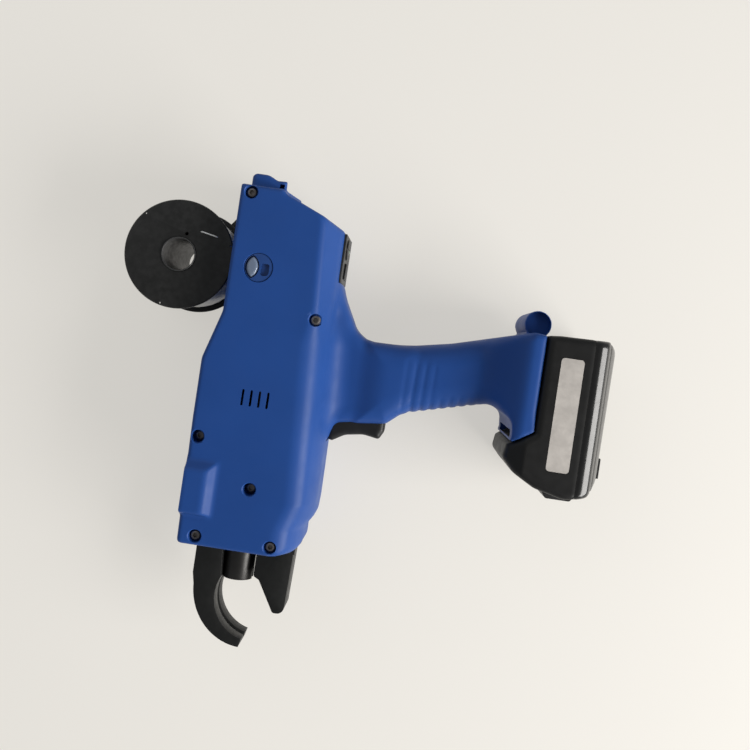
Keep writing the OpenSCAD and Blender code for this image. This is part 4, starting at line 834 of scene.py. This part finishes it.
def tube_faces(rings, sides):
    """Walls and ends of a closed tube through rings of points."""
    faces = []
    for i in range(rings - 1):
        for k in range(sides):
            a, b = i * sides + k, i * sides + (k + 1) % sides
            faces.append((a, b, b + sides, a + sides))
    return faces + [tuple(range(sides))[::-1], tuple((rings - 1) * sides + k for k in range(sides))]


def wound(turns, radius, z0, z1, wire, rings=40, sides=6):
    """Wire wound in one layer round the spool."""
    steps = int(turns * rings)
    points = []
    for i in range(steps + 1):
        a = 2 * math.pi * i / rings
        out = np.array([math.cos(a), math.sin(a), 0.0])
        centre = np.array([AXIS[0], AXIS[1], z0 + (z1 - z0) * i / steps]) + radius * out
        for k in range(sides):
            t = 2 * math.pi * k / sides
            points.append(centre + wire / 2 * (math.cos(t) * out + math.sin(t) * np.array([0, 0, 1.0])))
    return points, tube_faces(steps + 1, sides)


winding = new_piece("wire_layer", mesh_of("wire_layer", wound(38, 28.4, 17.3, 56.7, 1.0)), wire_metal, 60.0)
take_place(winding, "wire_winding")
tail_way = np.array([[-47.4, 173.2, 58.6], [-46.4, 173.05, 59.7], [-44.5, 172.75, 59.95],
                     [-39.0, 171.7, 59.95], [-37.2, 171.3, 59.7], [-36.4, 171.1, 58.6]])


def strand(way, radius, sides=8):
    """Round wire along a given path."""
    points = []
    for i, here in enumerate(way):
        along = way[min(i + 1, len(way) - 1)] - way[max(i - 1, 0)]
        along = along / np.linalg.norm(along)
        side = np.cross(along, (0.0, 0.0, 1.0))
        side /= np.linalg.norm(side)
        up = np.cross(side, along)
        for k in range(sides):
            t = 2 * math.pi * k / sides
            points.append(here + radius * (math.cos(t) * side + math.sin(t) * up))
    return points, tube_faces(len(way), sides)


tail = new_piece("wire_tail", mesh_of("wire_tail", strand(tail_way, 0.45)), wire_metal, 60.0)
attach(tail, body_of["wire_winding"])

# Battery
# A black pack of six cells, its upper case satin and its lower case polished, on a tongue under the butt.
# Bare foil labels lie on its sides, with a sprung latch and a charge gauge at the front.
battery_black = surface("battery_black", (0.0095, 0.0095, 0.0095), 0.46, mottle=0.1, cloud=40.0, grain=1900.0,
                        depth=0.02, specular=0.25, rough_spread=0.05)
polished_black = surface("polished_black", (0.0095, 0.0095, 0.0095), 0.24, mottle=0.1, cloud=40.0,
                         grain=700.0, depth=0.006, coat=0.3, rough_spread=0.04)
battery_outline = rounded([[162, 86, 1], [147.4, 76.9, 1.5], [146.2, 69.2, 4], [153, 61.8, 10],
                           [166, 54.8, 16], [184, 50.5, 16], [198.5, 53.5, 12], [204.8, 62, 6],
                           [206, 140, 6], [198.5, 144, 4], [169, 143.2, 3], [162.2, 142.4, 1.5]])
CASE_X = [142.4, 157.4, 190.8, 192.4, 193.4, 196.0, 197.0, 198.0, 206.0]
CASE_HALF = [28.0, 37.0, 37.0, 36.8, 36.45, 35.3, 34.5, 32.9, 17.4]


CASE_WALL = 2.0
CASE_SEAM = 189.0
SEAM_GAP = 0.05
FOOT_GROOVE = 199.6
PACK_LOW = (142, 46, -2)
PACK_HIGH = (209, 148, 76)
LABEL_LOW = (170.4, 65.9)
LABEL_HIGH = (184.0, 131.3)
LABEL_CORNER = 2.2
LABEL_GAP = 0.2
LABEL_SINK = 0.32
GAUGE = np.array([154.4, 61.1])
GAUGE_TILT = math.radians(-35)


def pack_form(x, y, z):
    """The plain body of the pack."""
    half = np.interp(x, CASE_X, CASE_HALF)
    return meet(from_outline(battery_outline, x, y), np.abs(z - MID) - half, 4.0)


def battery_form(x, y, z):
    """The pack with the seam between its cases and a groove near the bottom."""
    seam = 0.22 * np.exp(-((x - CASE_SEAM) / 0.7) ** 2) + 0.7 * np.exp(-((x - FOOT_GROOVE) / 0.5) ** 2)
    return pack_form(x, y, z) + seam


def battery_hollow(x, y, z):
    """The room for the cells, with a solid stop behind the latch."""
    stop = np.maximum(np.maximum(171.0 - x, x - 198.0), np.maximum(y - 61.8, np.abs(z - MID) - 18.0))
    return np.maximum(pack_form(x, y, z) + CASE_WALL, -stop)


def label_outline(inset):
    """Outline of a label's recess, or of the foil that lies inside of it by the inset."""
    x0, y0 = LABEL_LOW[0] + inset, LABEL_LOW[1] + inset
    x1, y1 = LABEL_HIGH[0] - inset, LABEL_HIGH[1] - inset
    radius = LABEL_CORNER - inset
    return rounded([[x0, y0, radius], [x1, y0, radius], [x1, y1, radius], [x0, y1, radius]])


pack_outer = mesh_of("pack_outer", skin(battery_form, PACK_LOW, PACK_HIGH, 0.9))
pack_hollow = mesh_of("pack_hollow", skin(battery_hollow, PACK_LOW, PACK_HIGH, 1.8, settle=0))
gauge_way = np.array([math.cos(GAUGE_TILT), math.sin(GAUGE_TILT)])
gauge_side = np.array([-gauge_way[1], gauge_way[0]])
gauge_corners = [GAUGE + a * 3.5 * gauge_way + b * 1.2 * gauge_side
                 for a, b in ((-1, -1), (1, -1), (1, 1), (-1, 1))]
latch_recess = [mid_block(174.6, 194.4, 40, 59.7, 30.8)]
gauge_recess = [slab(gauge_corners, 25, 49)]
label_recess = [slab(label_outline(0.0), LEFT_FACE - LABEL_SINK, 80),
                slab(label_outline(0.0), -5, LABEL_SINK)]
pack = carve(pack_outer, ("DIFFERENCE", pack_hollow), ("DIFFERENCE", latch_recess),
             ("DIFFERENCE", gauge_recess), ("DIFFERENCE", label_recess))
tongue = [mid_block(149.6, 158.4, 94, 134, 48)]
neck = [mid_block(157.4, 163.0, 94, 134, 40)]
slits = [block(151.1, 157.4, 117, 150, MID + z - 1.3, MID + z + 1.3) for z in (-12, 0, 12)]
upper = carve(pack.copy(), ("INTERSECT", [block(100, CASE_SEAM - SEAM_GAP, 0, 200, -20, 100)]),
              ("UNION", tongue), ("UNION", neck), ("DIFFERENCE", slits))
take_place(new_piece("pack_upper", upper, battery_black, 34.0), "battery_upper_case")
lower = carve(pack.copy(), ("INTERSECT", [block(CASE_SEAM + SEAM_GAP, 260, 0, 200, -20, 100)]))
take_place(new_piece("pack_lower", lower, polished_black, 34.0), "battery_lower_case")
cell_film = surface("cell_film", (0.05, 0.24, 0.17), 0.25, mottle=0.1, cloud=80.0, grain=900.0, depth=0.02)
coat_nodes(cell_film, "battery_cells")
coat_nodes(brass, "battery_contacts")
label_foil = surface("label_foil", (0.54, 0.505, 0.47), 0.42, metal=0.2, mottle=0.1, cloud=130.0,
                     grain=1200.0, depth=0.03, rough_spread=0.12)
foil_outline = label_outline(LABEL_GAP)
labels = mesh_of("pack_labels", slab(foil_outline, LEFT_FACE - LABEL_SINK, 74.1),
                 slab(foil_outline, 0.02, LABEL_SINK))
take_place(new_piece("pack_labels", labels, label_foil), "battery_labels")
foot_rubber = surface("foot_rubber", (0.012, 0.012, 0.012), 0.7, mottle=0.2, cloud=150.0,
                      grain=2000.0, depth=0.05)
eased("pack_feet", "battery_feet", foot_rubber, 0.3)
lens_red = surface("lens_red", (0.45, 0.02, 0.02), 0.12, mottle=0.08, cloud=200.0,
                   grain=600.0, depth=0.01, coat=0.5)
eased("gauge_lens", "charge_gauge", lens_red, 0.3)
eased("latch_button", "battery_latch", satin_black, 0.6, 3)
coil_spring("latch_coil", "latch_spring")
